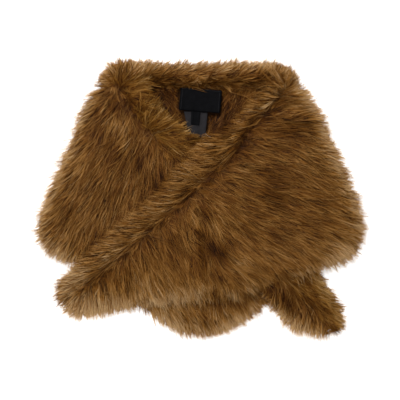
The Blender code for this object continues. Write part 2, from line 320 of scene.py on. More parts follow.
# %% [markdown]
# ## The form that the hair lies on
#
# Long pile is combed flat, so hair runs along the cloth and stands a few millimetres off it. For each panel
# the form is its own surface less the depth of the pile, then whatever lies under it, then the floor. A
# soft blur rounds the steps, and a wider one keeps the valley along a seam shallow, because hair fills it.
#
# Where the cloth is pinched or rumpled, a ridge or a trough is added: each row gives the two ends
# of its line, its height and its width, all in millimetres. The form never dips below the cloth that
# carries the hair.

# %% Rumples
SEAM_FOLDS = (
    (-66, 16, 0, 87, -5, 6), (0, 87, 40, 128, -3, 6), (-120, -50, -66, 16, -2, 6),
    (-122, 140, -96, 112, -3, 6),
)
RUMPLES = {
    "right_front": (
        (-9, -14, -4, -128, 7, 7), (6, -20, 21, -90, -11, 7), (30, -36, 58, -92, 3, 12),
        (26, -98, 80, -130, 3, 8), (-116, -108, -112, -140, 4, 6), (-106, -108, -104, -138, -4, 5),
        (-168, -128, -163, -142, -4, 6), (116, 156, 186, 150, 4, 8), (132, 140, 178, 136, -6, 7),
        (120, 124, 182, 120, 5, 8), (142, 104, 176, 98, -7, 6), (-44, -60, -30, -120, 2, 8),
    ),
    "left_front": (
        (-130, 100, -118, 76, 4, 8), (-92, 96, -74, 60, -4, 7), (-150, 20, -170, -40, 2, 12),
        (-104, 10, -118, -40, -3, 9), (92, -136, 120, -146, -7, 8), (160, -152, 174, -168, -4, 7),
    ),
    "back_band": ((-78, 172, -54, 176, -7, 8), (-60, 190, -40, 200, 2, 10), (20, 178, 60, 180, -2, 6)),
    "left_band": ((-96, 168, -86, 150, 3, 8), (-70, 126, -56, 110, 2, 8)),
    "right_band": ((88, 146, 66, 120, 3, 9), (-36, 34, -58, 2, 2, 9), (-100, -36, -128, -62, 2, 9)),
    "back": ((40, -170, 62, -190, -3, 8), (-70, 150, -44, 120, -3, 12)),
}
print("rumples:", {name: len(rows) for name, rows in RUMPLES.items()}, "seam folds:", len(SEAM_FOLDS))

# %% Form of each panel
PILE = by_panel(7 * MM, 9 * MM, 9 * MM, 9 * MM, 9 * MM, 10 * MM)
LAY = 4 * MM
FLOOR_CLEAR = 0.6 * MM
BLUR = 4 * MM
WIDE_BLUR = 11 * MM
SEAM_DEPTH = 0.5 * MM
CLOTH_ROOM = 4.2 * MM


def blurred(field, width):
    """A field blurred over the grid with a bell of that width."""
    reach = int(3 * width / STEP) + 1
    bell = np.exp(-0.5 * (np.arange(-reach, reach + 1) * STEP / width) ** 2)
    bell /= bell.sum()
    out = np.pad(field, reach, mode="edge")
    for axis in (0, 1):
        out = np.apply_along_axis(np.convolve, axis, out, bell, mode="valid")
    return out


form, lean = {}, {}
for name in PANELS:
    layers = [np.full(grid_x.shape, FLOOR_CLEAR), top[name] - PILE[name]]
    layers += [top[other] - LAY for other in UNDER_IT[name] + SEWN_TO[name]]
    plain = blurred(np.nanmax(layers, axis=0), BLUR)
    form[name] = np.maximum(plain, blurred(plain, WIDE_BLUR) - SEAM_DEPTH)
    for ax, ay, bx, by, rise, width in RUMPLES[name] + SEAM_FOLDS:
        form[name] += rise * MM * bell_along(ax, ay, bx, by, width)
    room = np.nan_to_num(under[name] + CLOTH_ROOM) * np.clip(free_distance[name] / CLOTH_ROOM - 1, 0, 1)
    form[name] = np.maximum(form[name], np.maximum(room, FLOOR_CLEAR))
    slope_x, slope_y = np.gradient(blurred(form[name], BLUR), STEP)
    normal = np.stack([-slope_x, -slope_y, np.ones_like(slope_x)], axis=-1)
    lean[name] = normal / np.linalg.norm(normal, axis=-1, keepdims=True)
    print(f"{name}: form up to {np.nanmax(form[name][inside[name]]) / MM:.0f} mm")

# %% [markdown]
# ## Which way the hair was brushed
#
# A furrier's chart of the nap: on each panel a few arrows, each a place in millimetres and a heading in
# degrees, 0 towards the wearer's left sleeve and 90 towards the back neck. Between the arrows the direction
# is mixed, nearer ones counting most.

# %% Nap chart
NAP = {
    "right_front": (
        (134, 189, 60), (154, 159, 5), (167, 147, -15), (127, 129, 4), (157, 123, 0), (182, 110, -15),
        (101, 99, -5), (142, 87, -25), (194, 72, -30), (83, 64, -20), (134, 50, -30), (214, 39, -25),
        (52, 39, -20), (104, 20, -18), (179, 12, -28), (230, -3, -25), (23, 12, -22), (67, -10, -24),
        (134, -21, -20), (217, -40, -22), (239, -56, -25), (14, -10, -50), (44, -40, -38), (104, -56, -26),
        (172, -66, -28), (224, -78, -50), (179, -96, -50), (14, -48, -68), (59, -75, -38), (127, -90, -35),
        (149, -108, -52), (-5, -26, -86), (-4, -70, -84), (4, -108, -82), (32, -90, -30), (56, -105, -30),
        (82, -116, -48), (26, -126, -80), (59, -135, -82), (97, -132, -62), (-20, -48, -62),
        (-31, -78, -58), (-53, -51, -64), (-76, -78, -68), (-49, -108, -60), (-16, -130, -72),
        (-68, -138, -68), (-106, -96, -76), (-124, -120, -84), (-113, -153, -88), (-154, -135, -86),
        (-158, -160, -95), (-181, -147, -116), (-192, -157, -150), (-186, -167, -134), (-176, -172, -112),
        (-206, -152, -155),
    ),
    "right_band": (
        (131, 195, 85), (119, 189, 100), (112, 168, 150), (95, 159, 185), (92, 141, 195), (71, 129, 200),
        (59, 111, 200), (37, 93, 190), (10, 78, 182), (17, 57, 178), (-8, 50, 180), (-16, 27, 182),
        (-43, 15, 184), (-61, -10, 186), (-91, -33, 188), (-113, -56, 190), (-139, -78, 192),
        (-163, -99, 196), (-184, -116, 200), (-205, -135, 208), (-200, -144, 216), (-210, -148, 225),
    ),
    "left_front": (
        (-139, 189, 140), (-151, 174, 170), (-133, 165, -150), (-163, 150, -155), (-121, 154, -110),
        (-143, 135, -130), (-175, 124, -150), (-112, 129, -100), (-137, 110, -108), (-184, 102, -145),
        (-101, 110, -112), (-88, 87, -118), (-104, 95, -150), (-121, 80, -122), (-163, 72, -128),
        (-202, 64, -145), (-76, 72, -95), (-98, 50, -110), (-136, 42, -120), (-181, 27, -132),
        (-223, 20, -150), (-64, 57, -85), (-83, 24, -108), (-118, 8, -110), (-166, -10, -125),
        (-226, -21, -150), (-106, -18, -100), (-143, -36, -105), (-188, -45, -125), (-233, -56, -155),
        (-158, -63, -112), (-199, -78, -128), (-226, -81, -140), (-173, -90, -118), (149, -108, -55),
        (145, -141, -52), (125, -153, -165), (134, -176, -118), (152, -168, -108), (149, -190, -118),
        (176, -186, -88), (182, -202, -85), (197, -201, -62),
    ),
    "left_band": (
        (-121, 198, 100), (-103, 195, 60), (-106, 180, 30), (-91, 170, 12), (-82, 154, -10),
        (-94, 150, -20), (-76, 141, 25), (-80, 121, 82), (-70, 116, 60), (-61, 130, 50), (-61, 108, 18),
        (-48, 124, 36), (-40, 111, 10), (-60, 94, -24), (-49, 96, -12), (-28, 104, 30), (-14, 98, 28),
        (-31, 90, -10), (-34, 76, -35), (-13, 72, -32), (7, 50, -35), (149, -96, -50), (172, -111, -35),
        (176, -138, -45), (194, -153, -20), (182, -160, -50), (206, -168, -5), (199, -180, -35),
        (212, -192, -25), (206, -204, -60),
    ),
    "back_band": (
        (-151, 177, 185), (-145, 192, 150), (-133, 201, 125), (-118, 207, 95), (-106, 198, 70),
        (-100, 178, 40), (-76, 206, 62), (-76, 194, 40), (-76, 180, 4), (-46, 206, 58), (-46, 194, 30),
        (-46, 180, -8), (-12, 206, 58), (-12, 194, 24), (-12, 180, -14), (24, 206, 60), (24, 194, 28),
        (24, 180, -14), (60, 206, 62), (60, 194, 34), (60, 180, -8), (88, 206, 70), (88, 192, 46),
        (92, 180, 10), (112, 204, 86), (107, 186, 50), (124, 204, 84), (131, 196, 74), (143, 186, 58),
        (149, 174, 34),
    ),
    "back": (
        (-68, 162, -60), (-46, 154, -70), (-1, 154, -90), (-24, 171, 12), (0, 171, 6), (24, 170, 0),
        (59, 159, -115), (74, 165, -130), (52, 132, -115), (32, 117, -105), (-1, 117, -90),
        (-211, -78, -135), (-166, -108, -110), (-68, -171, -62), (-38, -180, -64), (-8, -190, -76),
        (22, -198, -80), (52, -186, -58), (82, -165, -48), (97, -153, -45), (-53, -160, -60),
        (7, -160, -75), (59, -153, -62), (209, -86, -50), (-1, -3, -90),
    ),
}
print("nap arrows:", {name: len(rows) for name, rows in NAP.items()})

# %% [markdown]
# ## Brushing, with uneven tufts
#
# No brush leaves hair perfectly even, so slow noise in two sizes turns the nap a few degrees. Near a free
# edge the hair also turns outwards a little. Where the nap spreads out like a whorl, single hairs stray
# more, as they do when a parting opens.

# %% Noise and headings
WIDE_TUFTS = 34 * MM
FINE_TUFTS = 11 * MM
TUFT_GAIN = 1.6
NAP_FALL = 3.5
NAP_SOFT = 50
UNEVEN = by_panel(1.0, 0.9, 1.0, 0.55, 0.8, 1.0)
WIDE_TURN = 9
FINE_TURN = 5
SIDE_INSET = 8 * MM
OUTWARD_ZONE = 34 * MM
OUTWARD_SHARE = 0.3
WHORL_SPREAD = 60.0
NO_SLOPE = 1e-9


def ramp(value, start, end):
    """0 at start to 1 at end, eased."""
    t = np.clip((value - start) / (end - start), 0, 1)
    return t * t * (3 - 2 * t)


def tufts(size, seed):
    """Slow noise over the grid, about from -1 to 1, with lumps of about that size."""
    values = [noise.noise(Vector((x / size, y / size, seed))) for x, y in zip(grid_x.flat, grid_y.flat)]
    return np.array(values).reshape(grid_x.shape) * TUFT_GAIN


def nap_of(name):
    """Brushed heading over the grid, as x and y of an arrow."""
    arrows = np.array(NAP[name], float)
    away = np.hypot(grid_x[..., None] / MM - arrows[:, 0], grid_y[..., None] / MM - arrows[:, 1])
    weight = 1 / (away ** NAP_FALL + NAP_SOFT)
    angle = np.radians(arrows[:, 2])
    along_x, along_y = (weight * np.cos(angle)).sum(-1), (weight * np.sin(angle)).sum(-1)
    size = np.hypot(along_x, along_y)
    return along_x / size, along_y / size


def outward(name):
    """The way out of the panel's free outline, as x and y of an arrow, and the arrow's length."""
    out_x, out_y = (-part for part in np.gradient(blurred(free_distance[name], BLUR), STEP))
    return out_x, out_y, np.hypot(out_x, out_y) + NO_SLOPE


def headings(name, wide, fine):
    """The hair's heading over the grid, how far it points out of the outline, and where it is a whorl."""
    along_x, along_y = nap_of(name)
    out_x, out_y, out_size = outward(name)
    share = OUTWARD_SHARE * ramp(free_distance[name], OUTWARD_ZONE, SIDE_INSET)
    along_x = along_x * (1 - share) + out_x / out_size * share
    along_y = along_y * (1 - share) + out_y / out_size * share
    spreading = np.gradient(along_x, STEP, axis=0) + np.gradient(along_y, STEP, axis=1)
    whorl = blurred(np.clip(spreading / WHORL_SPREAD, 0, 1), BLUR)
    heading = np.arctan2(along_y, along_x) + UNEVEN[name] * np.radians(WIDE_TURN * wide + FINE_TURN * fine)
    outwards = np.cos(heading) * out_x / out_size + np.sin(heading) * out_y / out_size
    return heading, outwards, whorl


tuft_noise = {name: (tufts(WIDE_TUFTS, 3.1 + at), tufts(FINE_TUFTS, 17.7 + at))
              for at, name in enumerate(PANELS)}
nap = {name: headings(name, *tuft_noise[name]) for name in PANELS}
print("brushed panels:", len(nap))

# %% [markdown]
# ## Tone of the blend, with painted light and shade
#
# The cloth is dyed in a blend of browns, so its tone wanders. Towards a free edge the hair is painted paler,
# as painted backlight through the thin tips, and where another panel lies on it it is painted darker, as
# painted contact shade. The rest is listed in a chart: each row gives the two ends of a line and a width in
# millimetres, and how much paler or darker the hair is painted there. These rows are mostly painted shade in
# hollows and under edges and painted light on ridges, with some of the blend's own dye.

# %% Tone chart
# Painted light and shade: negative rows are mostly painted shade in hollows, pockets and under edges, and
# positive rows are mostly painted light on ridges and thin edges. A few rows are the blend's own dye.
SHADE_AND_TONE_STREAKS = {
    "back": (
        (-66, 166, -44, 136, 18, -0.31), (-20, 144, 30, 136, 40, -0.08), (56, 140, 66, 118, 20, -0.2),
        (-10, -152, 50, -158, 9, -0.16), (40, -192, 62, -186, 12, 0.24), (-58, -184, -44, -192, 10, 0.24),
        (96, -150, 104, -156, 9, -0.2), (16, 112, 32, 108, 9, -0.3), (36, 136, 38, 128, 8, -0.14),
        (50, -147, 60, -153, 8, -0.14),
    ),
    "left_front": (
        (-166, 170, -158, 162, 10, -0.12), (-180, 104, -174, 98, 12, -0.1), (-106, 4, -98, -2, 9, -0.1),
        (-140, -62, -132, -68, 8, -0.1), (-238, -20, -236, -28, 8, -0.1), (-220, 36, -216, 30, 8, -0.08),
        (-216, -40, -212, -48, 12, 0.09), (-148, 192, -140, 184, 9, 0.12), (-108, 76, -104, 68, 10, 0.08),
        (120, -182, 134, -192, 9, 0.16), (152, -184, 168, -192, 9, -0.16), (102, -142, 102, -134, 8, -0.2),
        (150, -108, 170, -110, 9, -0.25), (-143, 160, -126, 138, 12, -0.2),
        (-136, 114, -130, 104, 9, 0.11), (-158, 102, -136, 64, 14, -0.14), (-96, 134, -92, 126, 6, -0.22),
        (-94, 108, -88, 102, 6, -0.16), (-96, 72, -94, 54, 12, -0.3), (-62, 26, -66, 14, 13, -0.3),
        (-84, -4, -88, -16, 10, -0.14), (-136, 4, -132, -10, 12, -0.13), (-136, -56, -166, -78, 12, -0.1),
        (-211, -22, -205, -36, 14, -0.18), (-223, -78, -196, -96, 12, 0.1),
        (100, -123, 106, -130, 10, -0.19), (98, -146, 102, -156, 10, -0.28),
        (104, -160, 108, -164, 8, -0.16), (188, -206, 200, -202, 9, -0.34), (-190, 6, -184, -6, 9, -0.06),
        (-190, -84, -178, -88, 8, -0.2), (-128, 42, -120, 34, 10, -0.16), (-168, 142, -166, 130, 9, -0.12),
        (-232, 6, -226, -10, 10, 0.1), (-156, 172, -152, 162, 8, -0.12), (126, -150, 136, -164, 9, -0.28),
        (144, -196, 166, -204, 11, 0.13), (-112, 22, -100, 18, 12, 0.08), (-156, 146, -146, 134, 9, 0.08),
        (-238, -50, -234, -62, 8, -0.08),
    ),
    "left_band": (
        (-110, 190, -104, 186, 9, -0.08), (-14, 106, -8, 98, 8, 0.14), (150, -108, 170, -110, 9, -0.24),
        (-148, 192, -140, 184, 9, 0.1), (-124, 146, -112, 132, 12, -0.12), (-6, 88, 6, 78, 12, -0.18),
        (128, -106, 142, -116, 12, -0.16), (160, -100, 166, -104, 9, -0.18),
        (98, -150, 104, -128, 9, -0.12), (98, -146, 102, -156, 10, -0.24),
        (190, -206, 202, -200, 9, -0.32), (-42, 140, -34, 122, 8, -0.12), (-40, 96, -30, 90, 7, -0.14),
        (190, -146, 200, -158, 9, 0.1), (212, -180, 214, -188, 8, 0.24), (-110, 192, -100, 186, 10, -0.1),
        (-86, 162, -76, 160, 9, -0.1), (-70, 104, -30, 72, 8, 0.08), (162, -154, 180, -168, 10, -0.16),
        (172, -118, 186, -134, 9, 0.2), (-82, 152, -78, 144, 12, -0.07), (212, -196, 198, -206, 9, 0.14),
        (-96, 176, -88, 180, 10, 0.12),
    ),
    "right_front": (
        (92, 56, 98, 50, 10, -0.08), (84, 22, 90, 16, 12, -0.07), (142, 20, 142, -18, 12, -0.07),
        (-140, -118, -132, -124, 10, -0.08), (-72, -134, -64, -138, 9, -0.08),
        (-50, -153, 12, -153, 7, -0.15), (140, 192, 150, 184, 9, 0.14), (124, 166, 132, 156, 8, 0.1),
        (-84, -36, -76, -46, 9, 0.09), (-176, -180, -156, -182, 9, 0.14), (164, -64, 172, -70, 10, 0.08),
        (186, 52, 194, 46, 12, 0.08), (14, -48, 22, -58, 7, 0.1), (104, 34, 112, 28, 10, 0.07),
        (6, -114, 14, -120, 8, -0.06), (6, -16, 24, -84, 6, -0.2), (-3, -54, 1, -94, 4, -0.16),
        (-2, -50, 20, -78, 4, -0.12), (24, -78, 32, -86, 9, -0.24), (-9, -14, -6, -84, 6, 0.07),
        (-8, -92, -4, -112, 9, -0.18), (10, -138, 20, -142, 12, 0.06), (-112, -134, -110, -142, 8, -0.16),
        (-116, -118, -142, -120, 9, -0.1), (38, 62, 68, 74, 13, -0.19), (98, 122, 140, 98, 14, -0.12),
        (112, 24, 98, -14, 18, -0.17), (-46, -66, -46, -76, 13, -0.14), (-6, -50, 2, -62, 9, -0.08),
        (166, 146, 188, 98, 10, 0.16), (214, -78, 206, -92, 12, 0.28), (-165, -162, -125, -158, 14, 0.24),
        (-50, -140, -4, -144, 16, 0.13), (-84, -128, -78, -134, 10, 0.18), (58, -102, 72, -98, 11, 0.19),
        (84, 60, 60, 50, 9, 0.1), (100, -123, 104, -130, 10, -0.14), (160, -52, 168, -58, 12, -0.1),
        (52, -138, 66, -144, 9, -0.14), (18, -42, 26, -50, 9, 0.14), (-16, -14, -22, -34, 10, -0.1),
        (12, -148, 24, -150, 8, -0.36), (-20, -150, 0, -152, 8, -0.14), (-140, -110, -100, -140, 22, 0.06),
        (24, -148, 60, -149, 8, -0.34), (97, -140, 127, -118, 11, -0.36), (127, -118, 170, -106, 9, -0.28),
        (-208, -118, -172, -166, 14, 0.24), (46, -104, 58, -114, 9, -0.14), (56, -70, 76, -78, 9, -0.1),
        (-26, -110, -24, -122, 8, -0.08), (166, 120, 178, 108, 9, -0.27), (96, -16, 106, -26, 12, 0.12),
        (54, 10, 74, 14, 11, -0.08), (12, -6, 18, -16, 8, -0.1), (214, -50, 220, -60, 9, 0.1),
        (238, -60, 244, -72, 8, -0.2), (146, 172, 152, 168, 8, -0.14), (32, -138, 44, -142, 9, 0.08),
        (126, -102, 136, -106, 9, 0.1), (-126, -128, -116, -134, 9, 0.08), (186, -40, 200, -48, 10, -0.08),
        (56, 76, 78, 116, 5, -0.2), (78, -150, 92, -146, 8, -0.3), (128, 92, 140, 84, 12, -0.12),
        (90, -38, 100, -44, 10, -0.1), (-92, -162, -84, -168, 9, -0.15), (188, 96, 200, 80, 12, 0.12),
    ),
    "right_band": (
        (124, 166, 132, 156, 8, 0.1), (94, 136, 106, 128, 8, 0.08), (38, 102, 44, 98, 7, 0.1),
        (-50, -6, -42, -14, 8, 0.1), (-24, 34, -16, 24, 9, 0.07), (-208, -128, -198, -146, 12, 0.12),
        (26, 108, 34, 102, 10, -0.22), (50, 134, 56, 128, 9, -0.1), (70, 156, 80, 146, 11, -0.12),
        (-202, -110, -184, -114, 11, 0.44), (-150, -90, -120, -60, 14, 0.08),
        (-204, -132, -194, -142, 9, 0.14), (84, 134, 114, 160, 10, 0.14),
        (-214, -136, -204, -160, 10, 0.2), (-100, -4, -64, 18, 7, -0.16), (-90, -34, -48, -6, 8, 0.1),
        (20, 116, 36, 106, 8, -0.26), (42, 96, 54, 104, 7, 0.16), (54, 76, 76, 116, 5, -0.2),
        (-16, 42, -54, -4, 12, 0.02), (62, 124, 66, 118, 9, 0.06), (-62, 22, -54, 12, 9, -0.12),
        (-20, 8, -34, -10, 10, -0.1), (-146, -84, -138, -90, 10, 0.11),
    ),
    "back_band": (
        (-110, 190, -104, 186, 9, -0.08), (-78, 172, -74, 168, 9, -0.1), (40, 206, 84, 206, 8, 0.16),
        (138, 190, 146, 184, 9, 0.12), (-148, 192, -140, 184, 9, 0.1), (-122, 190, -114, 186, 12, -0.1),
        (-72, 172, -66, 174, 13, -0.18), (-78, 200, -66, 194, 8, -0.14), (-60, 190, -46, 190, 9, -0.1),
        (94, 188, 112, 186, 9, -0.17), (-92, 204, -82, 204, 6, 0.14), (-40, 184, -36, 182, 14, -0.13),
        (44, 184, 102, 180, 13, -0.2), (84, 205, 104, 203, 12, 0.34), (-84, 202, -50, 204, 12, 0.22),
        (-30, 206, 40, 206, 9, 0.18), (-147, 184, -135, 178, 10, -0.09),
    ),
}
print("tone streaks:", {name: len(rows) for name, rows in SHADE_AND_TONE_STREAKS.items()})

# %% Tone of each panel
BASE_TONE = by_panel(0.515, 0.5, 0.465, 0.485, 0.46, 0.51)
# Painted light: hair is painted paler towards a free edge, as painted backlight through its thin tips.
RIM_BACKLIGHT = by_panel(0.38, 0.6, 0.18, 0.56, 0.04, 0.24)
RIM_BACKLIGHT_ZONE = 22 * MM
RIM_BACKLIGHT_FULL = -4 * MM
WIDE_TONE = 0.05
FINE_TONE = 0.06
# Painted contact shade: hair is painted darker where another panel lies on it, where its shade falls.
COVER_SHADE = -0.2
COVER_SHADE_ZONE = 7 * MM


def tone_of(name, wide, fine):
    """The panel's tone over the grid, from 0, its darkest hair, to 1, its palest, with painted light and
    shade in it.
    """
    # Painted contact shade under the edge of a panel that lies on this one.
    pressed = blurred(pressed_on[name].astype(float), COVER_SHADE_ZONE)
    tone = BASE_TONE[name] + WIDE_TONE * wide + FINE_TONE * fine + COVER_SHADE * pressed
    # Painted backlight towards the free edge.
    tone += RIM_BACKLIGHT[name] * ramp(free_distance[name], RIM_BACKLIGHT_ZONE, RIM_BACKLIGHT_FULL)
    # Painted shade and painted light from the chart.
    for ax, ay, bx, by, width, shift in SHADE_AND_TONE_STREAKS[name]:
        tone += shift * bell_along(ax, ay, bx, by, width)
    return tone


tones = {name: tone_of(name, *tuft_noise[name]) for name in PANELS}
print("mean tones:", {name: round(float(tone[seen[name]].mean()), 2) for name, tone in tones.items()})

# %% [markdown]
# ## How far the hair reaches
#
# A pile has several coats: a short undercoat, guard hair over it, a few longer hairs and, at free edges,
# thin wisps. Each hair is cut so that its tip ends a set way past the free outline along its own heading,
# or short of it for the undercoat. Round some places, given in millimetres with a radius, the hair reaches
# a few millimetres further or less far. At the back neck it is cut or left out so that it clears the
# labels.

# %% Lengths and reach
HAIR = {"undercoat": 26 * MM, "guard_hair": 52 * MM, "long_hair": 66 * MM, "wisps": 40 * MM,
        "pressed_hair": 36 * MM, "side_hair": 26 * MM}
LONGEST = max(HAIR.values())
TOP_COATS = ("undercoat", "guard_hair", "long_hair", "wisps")
TIP_REACH = {"undercoat": -6 * MM, "guard_hair": 3.5 * MM, "long_hair": 8 * MM, "wisps": 14 * MM}
SHORTEST = {"undercoat": 6 * MM, "guard_hair": 9 * MM, "long_hair": 12 * MM, "wisps": 9 * MM}
PANEL_LENGTH = by_panel(0.85, 1.0, 0.72, 1.0, 0.8, 0.66)
LENGTH_UNEVEN = 0.15
STRAY_REACH = 4.5 * MM
STRAY_FROM = (-190 * MM, -150 * MM)
LABEL_CLEAR = {"back": 4 * MM, "back_band": 9 * MM}
LABEL_SHORTEST = 3 * MM
REACH_SPOTS = {
    "left_band": (
        (-14, 100, 16, 16), (222, -165, 6, 9), (222, -182, 6, 9), (204, -146, 11, -6), (212, -184, 20, 9),
        (178, -118, 22, -3), (-143, 180, 18, 9),
    ),
    "right_front": (
        (-198, -168, 24, 14), (-216, -150, 9, 7), (-100, -160, 40, 3), (206, -70, 34, 5),
        (30, -146, 50, 9), (172, 148, 15, 5), (190, 112, 13, 5), (210, 64, 16, -4),
    ),
    "left_front": (
        (-200, 88, 20, -4), (192, -208, 24, 10), (136, -188, 22, 12), (-215, -84, 34, 7),
        (-212, 42, 30, -5), (-154, 160, 22, 5),
    ),
    "back": ((0, -205, 60, 6), (-60, -180, 40, 5)),
    "right_band": ((-212, -154, 20, 14), (-218, -150, 9, 7), (142, 180, 14, 7)),
    "back_band": (
        (-140, 195, 20, 8), (142, 180, 14, 7), (-83, 208, 5, 7), (-62, 208, 5, 7), (-31, 208, 5, 7),
        (57, 208, 5, 7),
    ),
}


def free_run(flow_x, flow_y, gap):
    """How far hair at each grid point runs along its heading before gap, a field in metres, falls to zero."""
    run = np.full(grid_x.shape, LONGEST)
    for far in np.arange(LONGEST, 0, -STEP):
        i = np.rint((grid_x + flow_x * far - grid_x[0, 0]) / STEP).astype(int).clip(0, grid_x.shape[0] - 1)
        j = np.rint((grid_y + flow_y * far - grid_y[0, 0]) / STEP).astype(int).clip(0, grid_x.shape[1] - 1)
        run = np.where(gap[i, j] < 0, far + np.maximum(gap[i, j], -STEP), run)
    return np.maximum(run, 0)


def reach_of(name):
    """How much further than usual the panel's hair reaches, over the grid."""
    reach = np.zeros(grid_x.shape)
    for x, y, radius, extra in REACH_SPOTS[name]:
        reach += extra * MM * np.exp(-0.5 * (np.hypot(grid_x / MM - x, grid_y / MM - y) / radius) ** 2)
    return reach


print("longest hair, mm:", round(LONGEST / MM))

# %% [markdown]
# ## Fields for planting
#
# Each panel gets its fields over the grid: the hair's direction, how high it lifts, its tone, how much it
# strays, the length of each coat and where roots stand. Hair that points straight out of an edge is rooted
# further in than hair that runs along it. Hair hidden under another panel is left out, but for a margin
# that can be seen from the side.

# %% Brushing fields
TIP_INSET = 17 * MM
WISP_ZONE = 12 * MM
SEEN_MARGIN = 26 * MM
SEEN_LEAST = 0.04
LABEL_RAMP = (2 * MM, 6 * MM)
WIDE_LIFT = 0.3
FINE_LIFT = 0.35
PARTING_ZONE = 9 * MM
PARTING_STRAY = 1.5
WHORL_STRAY = 2.2
on_label = on_any(LABELS)
label_gap = distance_to(np.concatenate([outline[label] for label in LABELS]), grid_x, grid_y)
label_gap = np.where(on_label, -label_gap, label_gap)
brushed = {}
for name in PANELS:
    free, own = free_distance[name], own_distance[name]
    wide, fine = tuft_noise[name]
    heading, outwards, whorl = nap[name]
    flow = np.stack([np.cos(heading), np.sin(heading), 0 * heading], -1)
    beside_seam = free > own + 2 * STEP
    stray = 1 + WHORL_STRAY * whorl + PARTING_STRAY * ramp(own, PARTING_ZONE, 0) * beside_seam
    brushed[name] = {"flow": flow, "lift": 1 + WIDE_LIFT * wide + FINE_LIFT * fine, "tone": tones[name],
                     "stray": stray}
    inset = SIDE_INSET + (TIP_INSET - SIDE_INSET) * np.clip(outwards, 0, 1)
    root = ramp(free - inset, -STEP, 0) * ramp(own, -STEP, 0)
    root *= ramp(blurred(seen[name].astype(float), SEEN_MARGIN / 2), 0.0, SEEN_LEAST)
    label_run = np.full(grid_x.shape, FAR)
    if name in LABEL_CLEAR:
        label_run = free_run(flow[..., 0], flow[..., 1], label_gap - LABEL_CLEAR[name])
    if name == "back":
        root = root * ramp(label_run, *LABEL_RAMP) * ~on_label
    reach = reach_of(name)
    for coat in TOP_COATS:
        further = STRAY_REACH * ramp(grid_y, *STRAY_FROM) if coat == "wisps" else 0
        room = free_run(flow[..., 0], flow[..., 1], free + TIP_REACH[coat] + reach + further)
        whole = HAIR[coat] * PANEL_LENGTH[name] * (1 + LENGTH_UNEVEN * fine)
        length = np.minimum(whole, np.maximum(room, SHORTEST[coat]))
        brushed[name][coat] = np.minimum(length, np.maximum(label_run, LABEL_SHORTEST)) / HAIR[coat]
    brushed[name]["root"] = root
    brushed[name]["wisp_root"] = root * ramp(free - inset, WISP_ZONE, 0)
    guard = (brushed[name]["guard_hair"] * HAIR["guard_hair"])[root > 0.5].mean() / MM
    print(f"{name}: roots on {root.sum() * STEP ** 2 * 1e4:.0f} cm2, guard hair {guard:.0f} mm")

# %% [markdown]
# ## Form meshes
#
# Geometry Nodes read a mesh, so each panel's form becomes one: a skin over the grid that carries its fields
# as point attributes. It reaches past the panel's outline, so that hair finds the ground it falls on.

# %% Form mesh
SKIRT = 45 * MM


def form_object(name, heights, fields):
    """A skin at those heights over a panel and round it, with the fields as attributes."""
    keep = own_distance[name] > -SKIRT
    number = np.full(grid_x.shape, -1)
    number[keep] = np.arange(keep.sum())
    corners = np.stack([number[:-1, :-1], number[1:, :-1], number[1:, 1:], number[:-1, 1:]], -1)
    quads = corners[(corners >= 0).all(-1)]
    places = np.column_stack([grid_x[keep], grid_y[keep], heights[keep]])
    mesh = bpy.data.meshes.new(f"{name}_form")
    mesh.from_pydata(places.tolist(), [], quads.tolist())
    for key, values in fields.items():
        is_arrow = values.ndim == 3
        attribute = mesh.attributes.new(key, "FLOAT_VECTOR" if is_arrow else "FLOAT", "POINT")
        attribute.data.foreach_set("vector" if is_arrow else "value", values[keep].ravel())
    return linked(mesh.name, mesh)


print("form meshes reach past a panel by, mm:", round(SKIRT / MM))

# %% [markdown]
# ## Locks of hair
#
# Long pile clings together in small pointed locks. A lock here is five to seven flat hairs that start on a
# spot and close up towards the tip. Each hair is a ribbon of two or three short steps, three or five
# triangles in all, because there will be some two hundred thousand of them. A few different locks, turned
# and scaled at random, are enough to hide the repeat. Each hair's map coordinates say its tint across and
# the way along it from root to tip, and the material reads its colour from them.

# %% Kinds of coat
TOP_STEPS = (0.0, 0.36, 0.72, 1.0)
COATS = {
    "undercoat": {"hairs": 7, "steps": (0.0, 0.5, 1.0), "width": 1.0 * MM, "root_spot": 3.8 * MM,
                  "tip_spot": 3.0 * MM, "rise": 6.0 * MM, "bend": 3.0 * MM, "tint": 0.10, "shade": 0.0},
    "guard_hair": {"hairs": 7, "steps": TOP_STEPS, "width": 0.66 * MM, "root_spot": 1.8 * MM,
                   "tip_spot": 1.2 * MM, "rise": 8.0 * MM, "bend": 3.0 * MM, "tint": 0.38, "shade": 0.0},
    "pressed_hair": {"hairs": 6, "steps": (0.0, 0.5, 1.0), "width": 1.4 * MM, "root_spot": 3.6 * MM,
                     "tip_spot": 3.0 * MM, "rise": 1.4 * MM, "bend": 4.0 * MM, "tint": 0.14, "shade": 0.0},
    "long_hair": {"hairs": 5, "steps": TOP_STEPS, "width": 0.5 * MM, "root_spot": 2.6 * MM,
                  "tip_spot": 1.2 * MM, "rise": 11.0 * MM, "bend": 6.0 * MM, "tint": 0.3, "shade": 0.0},
    "wisps": {"hairs": 5, "steps": (0.0, 0.4, 0.75, 1.0), "width": 0.5 * MM, "root_spot": 2.6 * MM,
              "tip_spot": 1.7 * MM, "rise": 9.0 * MM, "bend": 5.0 * MM, "tint": 0.24, "shade": -0.2},
    "side_hair": {"hairs": 5, "steps": (0.0, 0.5, 1.0), "width": 1.0 * MM, "root_spot": 3.0 * MM,
                  "tip_spot": 2.4 * MM, "rise": 6.0 * MM, "bend": 4.0 * MM, "tint": 0.24, "shade": 0.0},
}
print("coats:", ", ".join(COATS))

# %% Lock meshes
LOCK_KINDS = 7
LOCK_SEED = 100
TINT_WIDTH = 0.004
LENGTH_RANGE = (0.75, 1.05)
RISE_RANGE = (0.4, 1.0)
ROLL_RANGE = (-0.7, 0.7)
PALEST = 0.5
DARKEST = -1.5


def taper(at):
    """A hair's width from 0, its root, to 1, its tip, as a share of the full one: widest a third up."""
    return 0.75 + 0.5 * at - 1.25 * at ** 3


